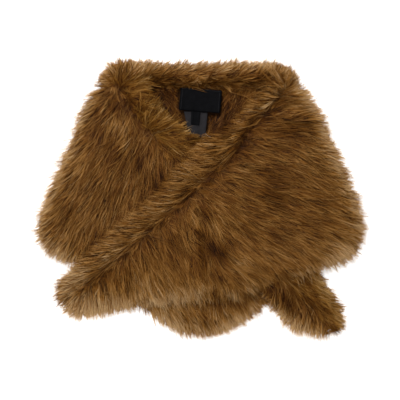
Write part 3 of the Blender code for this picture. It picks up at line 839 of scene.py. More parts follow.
def hair_spine(coat, chance):
    """A function from 0 to 1 that gives the points along one hair, which lies along +X."""
    around = chance.uniform(0, 2 * math.pi)
    spot = math.sqrt(chance.uniform(0.05, 1))
    length = coat["length"] * chance.uniform(*LENGTH_RANGE)
    rise = coat["rise"] * chance.uniform(*RISE_RANGE)
    bend = coat["bend"] * chance.uniform(-1, 1)

    def spine(at):
        spread = coat["root_spot"] + (coat["tip_spot"] - coat["root_spot"]) * at ** 0.8
        return Vector((
            length * at + spot * spread * math.cos(around) * (1 - at),
            spot * spread * math.sin(around) + bend * at * at,
            rise * (1 - (1 - at) ** 1.9),
        ))

    return spine


def lock_mesh(name, coat, seed):
    """One lock, its root at the origin and its tips along +X. Most hairs are pale and a few much darker,
    partly the blend's dye and partly painted shade for the thin dark gaps between clumps.
    """
    chance = random.Random(seed)
    points, faces, coordinates = [], [], []
    for _ in range(coat["hairs"]):
        spine = hair_spine(coat, chance)
        roll = chance.uniform(*ROLL_RANGE)
        # Painted shade: a few hairs are much darker, for the thin dark gaps between clumps, besides the
        # blend's own spread of dye.
        tint = coat["shade"] + coat["tint"] * (PALEST - (PALEST - DARKEST) * chance.random() ** 3)
        across = Vector((0, math.cos(roll), math.sin(roll)))
        start = len(points)
        for at in coat["steps"]:
            side = across * coat["width"] * taper(at) / 2
            points += [spine(at) - side, spine(at) + side] if at < 1 else [spine(at)]
            coordinates += [(tint - TINT_WIDTH, at), (tint + TINT_WIDTH, at)] if at < 1 else [(tint, at)]
        rungs = [start + 2 * step for step in range(len(coat["steps"]) - 1)]
        faces += [(a, b, b + 1, a + 1) for a, b in zip(rungs, rungs[1:])]
        faces.append((rungs[-1], rungs[-1] + 2, rungs[-1] + 1))
    mesh = bpy.data.meshes.new(name)
    mesh.from_pydata([tuple(p) for p in points], [], faces)
    layer = mesh.uv_layers.new(name="OFBake")
    for loop in mesh.loops:
        layer.data[loop.index].uv = coordinates[loop.vertex_index]
    return mesh


locks = {}
for coat in COATS:
    locks[coat] = bpy.data.collections.new(coat)
    for kind in range(LOCK_KINDS):
        lock = lock_mesh(f"{coat}_{kind}", dict(COATS[coat], length=HAIR[coat]), LOCK_SEED + kind)
        locks[coat].objects.link(bpy.data.objects.new(lock.name, lock))
    print(f"{coat}: {COATS[coat]['hairs'] * (2 * len(COATS[coat]['steps']) - 3)} triangles a lock")

# %% [markdown]
# ## The fur tree
#
# One Geometry Nodes tree plants a whole panel. It scatters root points evenly over the form, turns a lock
# at each to the brushed heading, waves it, then lays every hair down: a ray from above finds the form under
# each point of a hair, which is then set off along the form's normal by its own height. Hair on a roll
# therefore curves over it and down its side, and no point is set lower than just above the floor. The tone,
# with its painted light and shade, is read where each point lands. It is then shifted by a chance for each
# lock, so that neighbouring locks of the blend differ.
#
# Each input has a name: Blend is the most that a lock's tone may shift, Yaw spread how far single locks
# turn off the nap, in radians, and Clump turn how far small clumps of them turn together.

# %% Fur tree
FUR_INPUTS = {"Form": "Geometry", "Locks": "Collection", "Root field": "String", "Length field": "String",
              "Spacing": "Float", "Clump turn": "Float", "Yaw spread": "Float", "Wave": "Float",
              "Blend": "Float", "Seed": "Int", "Finish": "Material"}
FIELDS = {"lift": "FLOAT", "tone": "FLOAT", "stray": "FLOAT", "tint": "FLOAT", "flow": "FLOAT_VECTOR",
          "lean": "FLOAT_VECTOR", "OFBake": "FLOAT_VECTOR"}
CHANCES = {"long": (0.6, 1.0), "high": (0.3, 1.2), "wide": (0.75, 1.3), "tint": (-1.0, 1.0),
           "turn": (-1.0, 1.0)}
CHANCE_STEP = 31
CROWDING = 1.6
CLUMP = 5 * MM
SWIRL = 14 * MM
ABOVE = (0, 0, 1)
RAY = {"Ray Direction": (0, 0, -1), "Ray Length": 2.0}
LOWEST = (-9, -9, 0.4 * MM)


def new_tree(name, inputs, output):
    """A Geometry Nodes tree with those named inputs and one geometry output, and its inputs' sockets."""
    tree = bpy.data.node_groups.new(name, "GeometryNodeTree")
    for socket, kind in inputs.items():
        tree.interface.new_socket(socket, in_out="INPUT", socket_type=f"NodeSocket{kind}")
    tree.interface.new_socket(output, in_out="OUTPUT", socket_type="NodeSocketGeometry")
    return tree, add(tree, "NodeGroupInput").outputs


def fur_tree():
    """Builds the tree that plants and combs a panel's locks."""
    tree, given = new_tree("Plant and comb fur", FUR_INPUTS, "Fur")
    read = {}
    for key, kind in FIELDS.items():
        attribute = add(tree, "GeometryNodeInputNamedAttribute", {"Name": key}, data_type=kind)
        read[key] = attribute.outputs["Attribute"]
    chance = {}
    for at, (key, (low, high)) in enumerate(CHANCES.items()):
        seed = add(tree, "ShaderNodeMath", {0: given["Seed"], 1: float(at * CHANCE_STEP)},
                   operation="ADD").outputs[0]
        chance[key] = add(tree, "FunctionNodeRandomValue", {"Min_001": low, "Max_001": high, "Seed": seed},
                          data_type="FLOAT").outputs[1]

    density = add(tree, "GeometryNodeInputNamedAttribute", {"Name": given["Root field"]},
                  data_type="FLOAT").outputs["Attribute"]
    square = add(tree, "ShaderNodeMath", {0: given["Spacing"], 1: given["Spacing"]},
                 operation="MULTIPLY").outputs[0]
    crowd = add(tree, "ShaderNodeMath", {0: CROWDING, 1: square}, operation="DIVIDE").outputs[0]
    roots = add(tree, "GeometryNodeDistributePointsOnFaces", {
        "Mesh": given["Form"], "Distance Min": given["Spacing"], "Density Max": crowd,
        "Density Factor": density, "Seed": given["Seed"]}, distribute_method="POISSON").outputs["Points"]
    shift = add(tree, "ShaderNodeMath", {0: chance["tint"], 1: given["Blend"]},
                operation="MULTIPLY").outputs[0]
    tinted = add(tree, "GeometryNodeStoreNamedAttribute", {"Geometry": roots, "Name": "tint", "Value": shift},
                 data_type="FLOAT", domain="POINT").outputs["Geometry"]
    place = add(tree, "GeometryNodeInputPosition").outputs["Position"]
    plan = add(tree, "ShaderNodeVectorMath", {0: place, 1: (1, 1, 0)}, operation="MULTIPLY").outputs["Vector"]
    flat = add(tree, "GeometryNodeSetPosition", {"Geometry": tinted, "Position": plan}).outputs["Geometry"]

    flow = add(tree, "ShaderNodeSeparateXYZ", {"Vector": read["flow"]}).outputs
    heading = add(tree, "ShaderNodeMath", {0: flow["Y"], 1: flow["X"]}, operation="ARCTAN2").outputs[0]
    loose = add(tree, "ShaderNodeMath", {0: given["Yaw spread"], 1: read["stray"]},
                operation="MULTIPLY").outputs[0]
    apart = add(tree, "ShaderNodeMath", {0: chance["turn"], 1: loose, 2: heading},
                operation="MULTIPLY_ADD").outputs[0]
    lump = add(tree, "ShaderNodeTexNoise", {
        "Vector": place, "Scale": 1 / CLUMP, "Detail": 0.0}).outputs["Fac"]
    lean_in = add(tree, "ShaderNodeMath", {0: lump, 1: 0.5}, operation="SUBTRACT").outputs[0]
    yaw = add(tree, "ShaderNodeMath", {0: lean_in, 1: given["Clump turn"], 2: apart},
              operation="MULTIPLY_ADD").outputs[0]
    euler = add(tree, "ShaderNodeCombineXYZ", {"Z": yaw}).outputs["Vector"]
    turned = add(tree, "FunctionNodeEulerToRotation", {"Euler": euler}).outputs["Rotation"]
    length = add(tree, "GeometryNodeInputNamedAttribute", {"Name": given["Length field"]},
                 data_type="FLOAT").outputs["Attribute"]
    long = add(tree, "ShaderNodeMath", {0: length, 1: chance["long"]}, operation="MULTIPLY").outputs[0]
    high = add(tree, "ShaderNodeMath", {0: read["lift"], 1: chance["high"]}, operation="MULTIPLY").outputs[0]
    size = add(tree, "ShaderNodeCombineXYZ", {"X": long, "Y": chance["wide"], "Z": high}).outputs["Vector"]
    kinds = add(tree, "GeometryNodeCollectionInfo", {
        "Collection": given["Locks"], "Separate Children": True, "Reset Children": True}).outputs["Instances"]
    which = add(tree, "FunctionNodeRandomValue", {
        "Min_002": 0, "Max_002": LOCK_KINDS - 1, "Seed": given["Seed"]}, data_type="INT").outputs[2]
    planted = add(tree, "GeometryNodeInstanceOnPoints", {
        "Points": flat, "Instance": kinds, "Pick Instance": True, "Instance Index": which,
        "Rotation": turned, "Scale": size}).outputs["Instances"]
    real = add(tree, "GeometryNodeRealizeInstances", {"Geometry": planted}).outputs["Geometry"]

    swirl = add(tree, "ShaderNodeTexNoise", {"Vector": place, "Scale": 1 / SWIRL, "Detail": 1.0},
                noise_dimensions="3D").outputs["Color"]
    centred = add(tree, "ShaderNodeVectorMath", {0: swirl, 1: (0.5, 0.5, 0.5)},
                  operation="SUBTRACT").outputs["Vector"]
    sway = add(tree, "ShaderNodeVectorMath", {0: centred, 1: (1, 1, 0)},
               operation="MULTIPLY").outputs["Vector"]
    map_place = add(tree, "ShaderNodeSeparateXYZ", {"Vector": read["OFBake"]}).outputs
    along = add(tree, "ShaderNodeMath", {0: given["Wave"], 1: map_place["Y"]},
                operation="MULTIPLY").outputs[0]
    swing = add(tree, "ShaderNodeMath", {0: along, 1: length}, operation="MULTIPLY").outputs[0]
    wave = add(tree, "ShaderNodeVectorMath", {0: sway, "Scale": swing}, operation="SCALE").outputs["Vector"]
    waved = add(tree, "GeometryNodeSetPosition", {"Geometry": real, "Offset": wave}).outputs["Geometry"]

    above = add(tree, "ShaderNodeVectorMath", {0: plan, 1: ABOVE}, operation="ADD").outputs["Vector"]
    ray = add(tree, "GeometryNodeRaycast", {
        "Target Geometry": given["Form"], "Attribute": read["lean"], "Source Position": above, **RAY},
        data_type="FLOAT_VECTOR").outputs
    rise = add(tree, "ShaderNodeSeparateXYZ", {"Vector": place}).outputs["Z"]
    off = add(tree, "ShaderNodeVectorMath", {0: ray["Attribute"], "Scale": rise},
              operation="SCALE").outputs["Vector"]
    laid = add(tree, "ShaderNodeVectorMath", {0: ray["Hit Position"], 1: off},
               operation="ADD").outputs["Vector"]
    kept_up = add(tree, "ShaderNodeVectorMath", {0: laid, 1: LOWEST}, operation="MAXIMUM").outputs["Vector"]
    combed = add(tree, "GeometryNodeSetPosition", {
        "Geometry": waved, "Selection": ray["Is Hit"], "Position": kept_up}).outputs["Geometry"]

    landed = add(tree, "GeometryNodeRaycast", {
        "Target Geometry": given["Form"], "Attribute": read["tone"], "Source Position": above, **RAY},
        data_type="FLOAT").outputs["Attribute"]
    local = add(tree, "ShaderNodeMath", {0: landed, 1: read["tint"]}, operation="ADD").outputs[0]
    shaded = add(tree, "GeometryNodeStoreNamedAttribute", {
        "Geometry": combed, "Name": "tint", "Value": local}, data_type="FLOAT",
        domain="POINT").outputs["Geometry"]
    across = add(tree, "ShaderNodeMath", {0: map_place["X"], 1: read["tint"]}, operation="ADD",
                 use_clamp=True).outputs[0]
    mapped = add(tree, "ShaderNodeCombineXYZ", {"X": across, "Y": map_place["Y"]}).outputs["Vector"]
    coloured = add(tree, "GeometryNodeStoreNamedAttribute", {
        "Geometry": shaded, "Name": "OFBake", "Value": mapped}, data_type="FLOAT2",
        domain="CORNER").outputs["Geometry"]
    smooth = add(tree, "GeometryNodeSetShadeSmooth", {"Geometry": coloured}).outputs["Geometry"]
    done = add(tree, "GeometryNodeSetMaterial", {
        "Geometry": smooth, "Material": given["Finish"]}).outputs["Geometry"]
    add(tree, "NodeGroupOutput", {"Fur": done})
    return tree


planting = fur_tree()
print("fur tree nodes:", len(planting.nodes))

# %% [markdown]
# ## Finish: modacrylic fur
#
# Faux fur of this kind is modacrylic fibre, dyed in a blend of browns: dark where the hair leaves the knit,
# richer along it, pale and a little dry at the tips. The dark roots are partly that dye and partly painted
# shade, for the shade deep in the pile. It has a soft sheen and no mirror gloss. The colour comes from the
# hair's own map coordinates alone: tint across, root to tip along. The strip down the left front is dyed a
# touch more golden than the rest.

# %% Fur material
BROWNS = ("#261205", "#5c350e", "#8b5a22", "#ba8848", "#e3bd89")
GOLDEN_BROWNS = ("#261204", "#5c350c", "#8b5a1e", "#ba8841", "#e3bd80")
# Dark roots, partly dye and partly painted shade deep in the pile, from root (0) to tip (1).
ROOT_DYE_AND_PILE_SHADE = ((0.0, "#82766a"), (0.45, "#cfc6b8"), (1.0, "#ffffff"))


def fur_material(name, tints):
    """Modacrylic pile. tints are the blend's colours, from the darkest hair to the palest."""
    material, tree, shader = blank_material(name, {"Roughness": 0.52, "Specular IOR Level": 0.06})
    place = add(tree, "ShaderNodeUVMap", uv_map="OFBake").outputs["UV"]
    parts = add(tree, "ShaderNodeSeparateXYZ", {"Vector": place}).outputs
    blend = add(tree, "ShaderNodeValToRGB", {"Fac": parts["X"]})
    set_stops(blend, [(at / (len(tints) - 1), tint) for at, tint in enumerate(tints)])
    # Painted shade deep in the pile, with the dye's dark roots: this root-to-tip ramp multiplies the blend.
    depth = add(tree, "ShaderNodeValToRGB", {"Fac": parts["Y"]})
    set_stops(depth, ROOT_DYE_AND_PILE_SHADE)
    colour = add(tree, "ShaderNodeMix", {
        "Factor_Float": 1.0, "A_Color": blend.outputs["Color"], "B_Color": depth.outputs["Color"]},
        data_type="RGBA", blend_type="MULTIPLY")
    tree.links.new(colour.outputs[2], shader.inputs["Base Color"])
    return material


fur_finish = {}
for name in PANELS:
    tints = GOLDEN_BROWNS if name == "left_band" else BROWNS
    fur_finish[name] = fur_material(f"Modacrylic fur, {name.replace('_', ' ')}", tints)
print("finishes:", len(fur_finish))

# %% [markdown]
# ## Planting
#
# Each coat of each panel is planted with its own spacing, in millimetres, and its own seed. The evaluated
# result is copied to a plain mesh and the modifier goes, so that what is left is hair alone.

# %% Plant the panels
SPACING = {
    "undercoat": by_panel(3.2, 3.0, 2.8, 3.0, 2.7, 2.5),
    "guard_hair": by_panel(2.6, 2.2, 2.0, 2.4, 1.9, 1.8),
    "long_hair": by_panel(5.6, 4.6, 4.2, 4.8, 4.0, 3.8),
    "wisps": by_panel(3.4, 3.2, 3.0, 3.2, 3.2, 2.6),
    "pressed_hair": by_panel(4.6, 4.4, 4.2, 4.4, 4.2, 4.2),
    "side_hair": by_panel(3.4, 3.4, 3.4, 3.4, 3.4, 2.6),
}
YAW_SPREAD = {"undercoat": 0.45, "guard_hair": 0.14, "long_hair": 0.3, "wisps": 0.3, "pressed_hair": 0.4,
              "side_hair": 0.5}
CLUMP_TURN = {"undercoat": 0.0, "guard_hair": 0.55, "long_hair": 0.4, "wisps": 0.5, "pressed_hair": 0.0,
              "side_hair": 0.3}
BLEND = by_panel(0.2, 0.19, 0.2, 0.14, 0.2, 0.22)
WAVE = 9 * MM


def plant(name, coat, seed, heights, fields):
    """One coat of a panel's fur, grown on a form at those heights, as a plain mesh object."""
    mesh = grow(form_object(name, heights, fields), planting, {
        "Locks": locks[coat], "Root field": "wisp_root" if coat == "wisps" else "root", "Length field": coat,
        "Spacing": SPACING[coat][name] * MM, "Yaw spread": YAW_SPREAD[coat], "Clump turn": CLUMP_TURN[coat],
        "Wave": WAVE, "Blend": BLEND[name], "Seed": seed, "Finish": fur_finish[name]})
    for extra in [a.name for a in mesh.attributes if a.name in (*fields, "tint")]:
        mesh.attributes.remove(mesh.attributes[extra])
    fur = linked(f"{name}_{coat}", mesh)
    print(f"{fur.name}: {triangles(fur)} triangles")
    return fur


furs = {}
for name in PANELS:
    fields = dict(brushed[name], lean=lean[name])
    furs[name] = [plant(name, coat, 1 + seed, form[name], fields) for seed, coat in enumerate(TOP_COATS)]
print("hair triangles:", sum(triangles(fur) for panel in furs.values() for fur in panel))

# %% [markdown]
# ## The cloth under the hair
#
# The hair is knitted into a backing cloth. Little of it shows, but it closes every gap with something dark
# and soft. It is a thin closed shell a little below the form, inset from the panel's outline, with an
# underside just above what the panel lies on. At a seam it dips, as cloth does where it is sewn.

# %% Backing cloth
CLOTH_INSET = by_panel(9 * MM, 9 * MM, 9 * MM, 9 * MM, 9 * MM, 13 * MM)
SEAM_LAP = 2.5 * MM
CLOTH_SINK = 1.5 * MM
SEAM_SINK = 4 * MM
SEAM_SLOPE = 7 * MM
CLOTH_CLEAR = 2.4 * MM
CLOTH_LEAST = 1.2 * MM
SPREAD_CELLS = 4
COARSE = 2


def fill_nan(field):
    """The field with its empty points near the edge given a neighbour's value."""
    out = field.copy()
    for _ in range(SPREAD_CELLS):
        spread = np.stack([np.roll(out, shift, axis) for shift in (1, -1) for axis in (0, 1)])
        near = np.where(np.isnan(spread), -1, spread).max(axis=0)
        out = np.where(np.isnan(out) & (near >= 0), near, out)
    return np.nan_to_num(out)


def shell(name, x, y, high, low, full):
    """A closed shell between two heights over the cells that touch a full grid point."""
    touched = full[:-1, :-1] | full[1:, :-1] | full[1:, 1:] | full[:-1, 1:]
    used = np.zeros_like(full)
    for i, j in np.argwhere(touched):
        used[i:i + 2, j:j + 2] = True
    number = np.full(used.shape, -1)
    number[used] = np.arange(used.sum())
    i, j = np.nonzero(touched)
    quads = np.stack([number[i, j], number[i + 1, j], number[i + 1, j + 1], number[i, j + 1]], -1).tolist()
    count = int(used.sum())
    sides = {}
    for quad in quads:
        for a, b in zip(quad, quad[1:] + quad[:1]):
            if sides.pop((b, a), None) is None:
                sides[(a, b)] = (b, a, a + count, b + count)
    faces = quads + [tuple(at + count for at in reversed(quad)) for quad in quads] + list(sides.values())
    points = [np.column_stack([x[used], y[used], height[used]]) for height in (high, low)]
    mesh = bpy.data.meshes.new(name)
    mesh.from_pydata(np.concatenate(points).tolist(), [], faces)
    return linked(name, mesh)


def backing(name):
    """The panel's cloth. Its edge points are moved onto the line of its cut, so that the edge is smooth."""
    edge = np.minimum(free_distance[name] - CLOTH_INSET[name], own_distance[name] + SEAM_LAP)
    slope_x, slope_y = np.gradient(edge, STEP)
    low = fill_nan(under[name]) + CLOTH_CLEAR
    sunk = CLOTH_SINK + SEAM_SINK * ramp(own_distance[name], SEAM_SLOPE, -SEAM_LAP)
    around = [np.roll(form[name], (i, j), (0, 1)) for i in (-1, 0, 1) for j in (-1, 0, 1)]
    high = np.maximum(np.min(around, axis=0) - sunk, low + CLOTH_LEAST)
    x, y, edge, slope_x, slope_y, low, high = (field[::COARSE, ::COARSE] for field in (
        grid_x, grid_y, edge, slope_x, slope_y, low, high))
    steep = np.hypot(slope_x, slope_y) + NO_SLOPE
    move = np.where(edge > 0, 0, -edge)
    return shell(f"{name}_cloth", x + slope_x / steep * move, y + slope_y / steep * move, high, low, edge > 0)


cloths = {}
for name in PANELS:
    cloths[name] = backing(name)
    half = sum(p.area for p in cloths[name].data.polygons) / 2
    print(f"{cloths[name].name}: {half * 1e4:.0f} cm2 a side, {len(cloths[name].data.polygons)} faces")

# %% [markdown]
# ## Finish: knit backing
#
# The backing is brushed polyester knit, coloured darker than the pile, partly its own dark brown and partly
# painted shade, so that it looks like depth between the hairs. Its rows of loops are drawn with two crossed
# waves, a millimetre and a half by a little over one, as such a knit has.

# %% Knit material
KNIT_ROW = 1.5 * MM
KNIT_LOOP = 1.1 * MM
KNIT_WOBBLE = 0.6
MOTTLE = 18 * MM


def wave_scale(spacing):
    """The scale at which a wave texture's bands lie that far apart."""
    return 1 / (spacing * 20 / math.tau)


def knit_backing():
    """Brushed polyester knit: matt, with loops that show as a fine even grid."""
    material, tree, shader = blank_material("Brown polyester knit backing", {
        "Roughness": 0.9, "Specular IOR Level": 0.1})
    place = add(tree, "ShaderNodeTexCoord").outputs["Object"]
    rows, loops = (
        add(tree, "ShaderNodeTexWave", {
            "Vector": place, "Scale": wave_scale(spacing), "Distortion": KNIT_WOBBLE},
            wave_type="BANDS", bands_direction=axis).outputs["Fac"]
        for spacing, axis in ((KNIT_ROW, "X"), (KNIT_LOOP, "Y")))
    stitch = add(tree, "ShaderNodeMath", {0: rows, 1: loops}, operation="MULTIPLY").outputs[0]
    mottle = add(tree, "ShaderNodeTexNoise", {"Vector": place, "Scale": 1 / MOTTLE}).outputs["Fac"]
    mixed = add(tree, "ShaderNodeMath", {0: stitch, 1: 0.5, 2: mottle}, operation="MULTIPLY_ADD").outputs[0]
    tone = add(tree, "ShaderNodeValToRGB", {"Fac": mixed})
    # Dark browns: partly the knit's own colour, partly painted shade for the depth between the hairs.
    set_stops(tone, ((0.25, "#2a1909"), (1.0, "#472c13")))
    bump = add(tree, "ShaderNodeBump", {
        "Height": stitch, "Strength": 0.5, "Distance": 0.4 * MM}).outputs["Normal"]
    tree.links.new(tone.outputs["Color"], shader.inputs["Base Color"])
    tree.links.new(bump, shader.inputs["Normal"])
    return material


knit = knit_backing()
for cloth in cloths.values():
    cloth.data.materials.append(knit)
print("knit rows a centimetre:", round(10 * MM / KNIT_ROW, 1))

# %% [markdown]
# ## Hair underneath
#
# The fur is double-faced, so the side it lies on is hair too, pressed flat by the garment's weight. The
# same tree plants it on the panel's underside, with short wide hairs that hardly rise. It is left out where
# one panel's underside lies on another panel.

# %% Pressed hair
PRESSED_HEIGHT = 0.9 * MM
PRESSED_CLEAR = 0.5 * MM
PRESSED_INSET = 7 * MM
PRESSED_REACH = -2 * MM
PRESSED_SHORTEST = 7 * MM
PRESSED_BROWN = 0.42
PRESSED_MOTTLE = 0.12
PRESSED_TUFTS = 30 * MM
PRESSED_SEED = 9
COVERED = 0.9


def pressed_form(name):
    """The heights and fields that a panel's pressed hair grows on."""
    flow, free, base = brushed[name]["flow"], free_distance[name], fill_nan(under[name])
    hidden = blurred(on_any(UNDER_IT[name]).astype(float), BLUR) > COVERED
    room = free_run(flow[..., 0], flow[..., 1], free + PRESSED_REACH)
    fields = {
        "flow": flow,
        "lift": np.ones(grid_x.shape),
        "tone": PRESSED_BROWN + PRESSED_MOTTLE * tufts(PRESSED_TUFTS, 60.0),
        "stray": brushed[name]["stray"],
        "root": ramp(free, PRESSED_INSET - STEP, PRESSED_INSET) * inside[name] * ~hidden,
        "pressed_hair": np.clip(room, PRESSED_SHORTEST, HAIR["pressed_hair"]) / HAIR["pressed_hair"],
        "lean": np.zeros(grid_x.shape + (3,)) + (0, 0, 1),
    }
    return np.maximum(base + PRESSED_CLEAR, PRESSED_HEIGHT), fields


print("shortest pressed hair, mm:", round(PRESSED_SHORTEST / MM))

# %% [markdown]
# ## Hair on the outer sides
#
# Along a free edge the cloth turns under, and hair stands straight out of that turned side too. It grows
# lower down than the top coats and stops short of their tips, so it is seen from the side alone.

# %% Side hair
SIDE_SHARE = 0.3
SIDE_ROOTS = (7 * MM, 16 * MM)
SIDE_SHORTEST = 5 * MM
SIDE_REACH = by_panel(-6 * MM, -6 * MM, -6 * MM, -6 * MM, -6 * MM, 2 * MM)
SIDE_SEEN = (0.3, 0.6)
SIDE_SEED = 12


def side_form(name):
    """The heights and fields that the hair on a panel's outer sides grows on."""
    free, base = free_distance[name], fill_nan(under[name])
    out_x, out_y, out_size = outward(name)
    out = np.stack([out_x / out_size, out_y / out_size, np.zeros(grid_x.shape)], -1)
    low_root, high_root = SIDE_ROOTS
    root = ramp(free, low_root - STEP, low_root) * ramp(free, high_root + STEP, high_root)
    root *= inside[name] * ramp(blurred(seen[name].astype(float), BLUR), *SIDE_SEEN)
    room = free_run(out[..., 0], out[..., 1], free + SIDE_REACH[name])
    fields = {
        "flow": out,
        "lift": np.ones(grid_x.shape),
        "tone": brushed[name]["tone"],
        "stray": brushed[name]["stray"],
        "root": root,
        "side_hair": np.clip(room, SIDE_SHORTEST, HAIR["side_hair"]) / HAIR["side_hair"],
        "lean": (out + (0, 0, 1)) / math.sqrt(2),
    }
    return np.maximum(base + SIDE_SHARE * (form[name] - base), FLOOR_CLEAR), fields


print("shortest side hair, mm:", round(SIDE_SHORTEST / MM))

# %% Plant the underside and the sides
for name in PANELS:
    furs[name].append(plant(name, "pressed_hair", PRESSED_SEED, *pressed_form(name)))
    furs[name].append(plant(name, "side_hair", SIDE_SEED, *side_form(name)))

# %% [markdown]
# ## Labels
#
# Three woven labels are sewn in at the back neck: a black main label, a small black size tab and a slate
# grey care label under them. Each is a satin ribbon a few tenths of a millimetre thick, laid between its
# four corners, with rounded corners and a slight wave. The two black ones have their ends folded under, so
# they are thicker there. What real ones say is left off, so they are bare.

# %% Label places
LABEL_SHAPES = {
    "care_label": {"corners": ((-25, 131), (11, 130), (7, 91), (-18, 96)), "low": 12.4, "thick": 0.5,
                   "wave": 0.5, "fold": 0.0, "round": 0.6},
    "size_tab": {"corners": ((-14, 132), (0, 132), (-2, 110), (-14.5, 111)), "low": 13.8, "thick": 0.6,
                 "wave": 0.2, "fold": 3.0, "round": 0.8},
    "main_label": {"corners": ((-29.5, 167.5), (32.5, 162.5), (29.5, 128), (-33, 133)), "low": 15.4,
                   "thick": 0.7, "wave": 0.5, "fold": 5.0, "round": 2.4},
}
FOLD_RISE = 0.4 * MM
FOLD_SOFT = 0.7 * MM
RIPPLES = ((5.1, 2.2, 1.0), (-2.0, 4.4, 0.6))
RIPPLE_PEAK = 1.6
EDGE_THIN = 0.55
EDGE_SOFT = 0.5 * MM


def label_spot(shape, u, v, side):
    """A place on a label: u across from the left, v down from the top, side 1 on its face, 0 on its back."""
    upper_left, upper_right, lower_right, lower_left = (Vector(corner) * MM for corner in shape["corners"])
    wide, tall = (upper_right - upper_left).length, (upper_left - lower_left).length
    to_end = min(u * wide, (1 - u) * wide)
    to_edge = min(to_end, v * tall, (1 - v) * tall)
    swell = FOLD_RISE * math.exp(-max(0.0, to_end - shape["fold"] * MM) / FOLD_SOFT) if shape["fold"] else 0.0
    ripple = sum(share * math.sin(u * turns_u + v * turns_v) for turns_u, turns_v, share in RIPPLES)
    height = shape["low"] + shape["wave"] * ripple / RIPPLE_PEAK
    height += shape["thick"] * (1 - EDGE_THIN * math.exp(-to_edge / EDGE_SOFT)) * side
    curve = shape["round"] * MM
    past = [max(0.0, 1 - min(t, 1 - t) * size / curve) for t, size in ((u, wide), (v, tall))]
    pull = [a - a * math.sqrt(1 - b * b / 2) for a, b in (past, past[::-1])]
    u += (1 if u < 0.5 else -1) * pull[0] * curve / wide
    v += (1 if v < 0.5 else -1) * pull[1] * curve / tall
    spot = upper_left.lerp(upper_right, u).lerp(lower_left.lerp(lower_right, u), v)
    return Vector((spot.x, spot.y, height * MM + swell * side)), (u * wide, v * tall)


print("labels:", ", ".join(LABEL_SHAPES))

# %% Label ribbons
LABEL_CELLS = 36


def label_ribbon(name, shape):
    """A label as a closed ribbon between four corners, given from the upper left clockwise."""
    upper_left, upper_right, _, lower_left = (Vector(corner) for corner in shape["corners"])
    rows = round(LABEL_CELLS * (upper_left - lower_left).length / (upper_right - upper_left).length)
    grid = [(i / LABEL_CELLS, j / rows, side) for side in (1, 0) for j in range(rows + 1)
            for i in range(LABEL_CELLS + 1)]
    spots = [label_spot(shape, *place) for place in grid]
    across = LABEL_CELLS + 1
    count = across * (rows + 1)
    quads = [(j * across + i, (j + 1) * across + i, (j + 1) * across + i + 1, j * across + i + 1)
             for j in range(rows) for i in range(LABEL_CELLS)]
    rim = (list(range(LABEL_CELLS)) + [j * across + LABEL_CELLS for j in range(rows)]
           + [rows * across + i for i in range(LABEL_CELLS, 0, -1)]
           + [j * across for j in range(rows, 0, -1)])
    sides = [(a, b, b + count, a + count) for a, b in zip(rim, rim[1:] + rim[:1])]
    mesh = bpy.data.meshes.new(f"{name}_ribbon")
    mesh.from_pydata([tuple(point) for point, _ in spots], [],
                     quads + [tuple(at + count for at in reversed(quad)) for quad in quads] + sides)
    layer = mesh.uv_layers.new(name="Weave")
    for loop in mesh.loops:
        layer.data[loop.index].uv = spots[loop.vertex_index][1]
    mesh.polygons.foreach_set("use_smooth", [True] * len(quads) * 2 + [False] * len(sides))
    return linked(mesh.name, mesh)


ribbons = {name: label_ribbon(name, shape) for name, shape in LABEL_SHAPES.items()}
print("ribbons:", {name: len(ribbon.data.polygons) for name, ribbon in ribbons.items()})

# %% [markdown]
# ## Finish: label satin
#
# Label satin is polyester, woven with long floats, so it has a soft sheen and the finest of ribs. The ribs
# are drawn half a millimetre apart, a little coarser than real, to be seen at all.

# %% Label satin
THREAD = 0.5 * MM
WARP_SPACING = 1.7
CLOUDS = 9 * MM


def label_satin(name, dark, light):
    """Woven polyester satin in two close tones."""
    material, tree, shader = blank_material(name, {"Roughness": 0.6, "Specular IOR Level": 0.05})
    place = add(tree, "ShaderNodeUVMap", uv_map="Weave").outputs["UV"]
    weft, warp = (
        add(tree, "ShaderNodeTexWave", {"Vector": place, "Scale": wave_scale(spacing)},
            wave_type="BANDS", bands_direction=axis).outputs["Fac"]
        for spacing, axis in ((THREAD, "Y"), (THREAD * WARP_SPACING, "X")))
    weave = add(tree, "ShaderNodeMath", {0: warp, 1: 0.35, 2: weft}, operation="MULTIPLY_ADD").outputs[0]
    cloudy = add(tree, "ShaderNodeTexNoise", {"Vector": place, "Scale": 1 / CLOUDS}).outputs["Fac"]
    mixed = add(tree, "ShaderNodeMath", {0: weave, 1: 0.3, 2: cloudy}, operation="MULTIPLY_ADD").outputs[0]
    tone = add(tree, "ShaderNodeValToRGB", {"Fac": mixed})
    set_stops(tone, ((0.3, dark), (1.0, light)))
    bump = add(tree, "ShaderNodeBump", {
        "Height": weave, "Strength": 0.4, "Distance": 0.15 * MM}).outputs["Normal"]
    tree.links.new(tone.outputs["Color"], shader.inputs["Base Color"])
    tree.links.new(bump, shader.inputs["Normal"])
    return material


black_satin = label_satin("Black polyester label satin", "#020203", "#0c0c0f")
grey_satin = label_satin("Slate grey polyester label satin", "#1c1a1b", "#302e30")
for name, ribbon in ribbons.items():
    ribbon.data.materials.append(grey_satin if name == "care_label" else black_satin)
print("ribs a millimetre:", round(MM / THREAD))

# %% [markdown]
# ## Stitches and a loose end
#
# The main label is held with a black sewing thread: a second Geometry Nodes tree sets one small oval loop
# after another along its ends and its top edge. At the care label a loose end of white thread curls out.
# Both threads are polyester, two plies that catch a little light.

# %% Sewing thread
PLY = 0.6 * MM


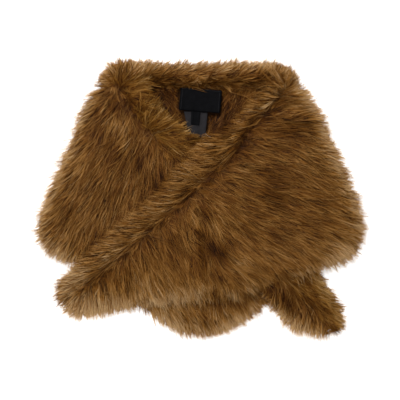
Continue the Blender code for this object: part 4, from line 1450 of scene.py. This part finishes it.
def sewing_thread(name, dark, light):
    """Polyester sewing thread in two close tones."""
    material, tree, shader = blank_material(name, {"Roughness": 0.6})
    place = add(tree, "ShaderNodeTexCoord").outputs["Object"]
    plies = add(tree, "ShaderNodeTexNoise", {"Vector": place, "Scale": 1 / PLY}).outputs["Fac"]
    tone = add(tree, "ShaderNodeValToRGB", {"Fac": plies})
    set_stops(tone, ((0.0, dark), (1.0, light)))
    tree.links.new(tone.outputs["Color"], shader.inputs["Base Color"])
    return material


black_thread = sewing_thread("Black polyester sewing thread", "#101012", "#2c2c30")
white_thread = sewing_thread("White polyester sewing thread", "#b9b2a8", "#efe9df")
print("threads:", black_thread.name, "and", white_thread.name)

# %% Stitch tree
STITCH_INPUTS = {"Line": "Geometry", "Pitch": "Float", "Stitch length": "Float", "Thread": "Float",
                 "Finish": "Material"}


def stitch_tree():
    """Builds the tree that sets thread loops along a line of edges."""
    tree, given = new_tree("Sew stitches along a line", STITCH_INPUTS, "Stitches")
    curve = add(tree, "GeometryNodeMeshToCurve", {"Mesh": given["Line"]}).outputs["Curve"]
    spots = add(tree, "GeometryNodeCurveToPoints", {"Curve": curve, "Length": given["Pitch"]},
                mode="LENGTH").outputs
    ball = add(tree, "GeometryNodeMeshUVSphere", {"Segments": 6, "Rings": 4, "Radius": 0.5}).outputs["Mesh"]
    size = add(tree, "ShaderNodeCombineXYZ", {
        "X": given["Thread"], "Y": given["Thread"], "Z": given["Stitch length"]}).outputs["Vector"]
    loops = add(tree, "GeometryNodeInstanceOnPoints", {
        "Points": spots["Points"], "Instance": ball, "Rotation": spots["Rotation"],
        "Scale": size}).outputs["Instances"]
    real = add(tree, "GeometryNodeRealizeInstances", {"Geometry": loops}).outputs["Geometry"]
    smooth = add(tree, "GeometryNodeSetShadeSmooth", {"Geometry": real}).outputs["Geometry"]
    done = add(tree, "GeometryNodeSetMaterial", {
        "Geometry": smooth, "Material": given["Finish"]}).outputs["Geometry"]
    add(tree, "NodeGroupOutput", {"Stitches": done})
    return tree


sewing = stitch_tree()
print("stitch tree nodes:", len(sewing.nodes))

# %% Stitches
STITCH_PITCH = 2.6 * MM
STITCH_LENGTH = 1.9 * MM
STITCH_THREAD = 0.4 * MM
STITCH_SIDE = 0.05
STITCH_TOP = 0.06
SEWN_CORNERS = ((STITCH_SIDE, 1 - STITCH_TOP), (STITCH_SIDE, STITCH_TOP), (1 - STITCH_SIDE, STITCH_TOP),
                (1 - STITCH_SIDE, 1 - STITCH_TOP))
LINE_STEPS = 24


def sew(name, shape):
    """Stitches along a label's ends and top edge, as a plain mesh object."""
    points, edges = [], []
    for (start_u, start_v), (end_u, end_v) in zip(SEWN_CORNERS, SEWN_CORNERS[1:]):
        edges += [(at, at + 1) for at in range(len(points), len(points) + LINE_STEPS)]
        for step in range(LINE_STEPS + 1):
            t = step / LINE_STEPS
            spot = label_spot(shape, start_u + (end_u - start_u) * t, start_v + (end_v - start_v) * t, 1)[0]
            points.append(tuple(spot))
    line = bpy.data.meshes.new("seam line")
    line.from_pydata(points, edges, [])
    mesh = grow(linked("seam line", line), sewing, {
        "Pitch": STITCH_PITCH, "Stitch length": STITCH_LENGTH, "Thread": STITCH_THREAD,
        "Finish": black_thread})
    return linked(f"{name}_stitches", mesh)


stitches = sew("main_label", LABEL_SHAPES["main_label"])
print("stitch faces:", len(stitches.data.polygons))

# %% Loose end
LOOSE_END = ((5, 106, 3), (6.4, 101, 7), (8.6, 96.6, 12), (11.6, 93.6, 15), (15.2, 92.2, 16))
LOOSE_THREAD = 0.45 * MM
TUBE_SIDES = 6


def loose_end(name):
    """A loose end of thread through the places of LOOSE_END, as a closed tube."""
    middles = [Vector(point) * MM for point in LOOSE_END]
    around = [Vector((math.cos(turn), math.sin(turn), 0))
              for turn in np.arange(TUBE_SIDES) * math.tau / TUBE_SIDES]
    points = []
    for at, middle in enumerate(middles):
        ahead = (middles[min(at + 1, len(middles) - 1)] - middles[max(at - 1, 0)]).normalized()
        turned = ahead.to_track_quat("Z", "Y")
        points += [tuple(middle + turned @ spoke * LOOSE_THREAD) for spoke in around]
    rings = np.arange(len(points)).reshape(-1, TUBE_SIDES).tolist()
    faces = [(low[side], low[(side + 1) % TUBE_SIDES], high[(side + 1) % TUBE_SIDES], high[side])
             for low, high in zip(rings, rings[1:]) for side in range(TUBE_SIDES)]
    faces += [rings[0][::-1], rings[-1]]
    mesh = bpy.data.meshes.new(name)
    mesh.from_pydata(points, [], faces)
    mesh.polygons.foreach_set("use_smooth", [True] * len(faces))
    mesh.materials.append(white_thread)
    return linked(name, mesh)


curl = loose_end("care_label_thread")
print("loose end faces:", len(curl.data.polygons))

# %% [markdown]
# ## Pieces on the body
#
# Every piece rides on the garment's one body. A cloth stands for its solid, which is hidden, and its fur goes
# with it. The table gives the flat size each was cut to, in metres, and its area in square metres; the size
# is printed.

CUT = {
    "back": ((0.463, 0.379), 0.130), "left_front": ((0.38, 0.30), 0.064),
    "right_front": ((0.40, 0.30), 0.076), "left_band": ((0.07, 0.42), 0.0215),
    "right_band": ((0.07, 0.47), 0.018), "back_band": ((0.30, 0.07), 0.0125),
    "main_label": ((0.063, 0.035), None), "size_tab": ((0.0142, 0.022), None),
    "care_label": ((0.036, 0.037), 0.00115),
}
going_along = dict(furs, main_label=[stitches], care_label=[curl])
for name, cloth in list(cloths.items()) + list(ribbons.items()):
    pieces = going_along.get(name, [])
    for piece in [cloth] + pieces:
        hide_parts(name)
        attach(piece, "root")
    (wide, tall), area = CUT[name]
    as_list(pieces)
    print(f"{name}: cut {wide / MM:.0f} x {tall / MM:.0f} mm, {len(pieces)} pieces on it")
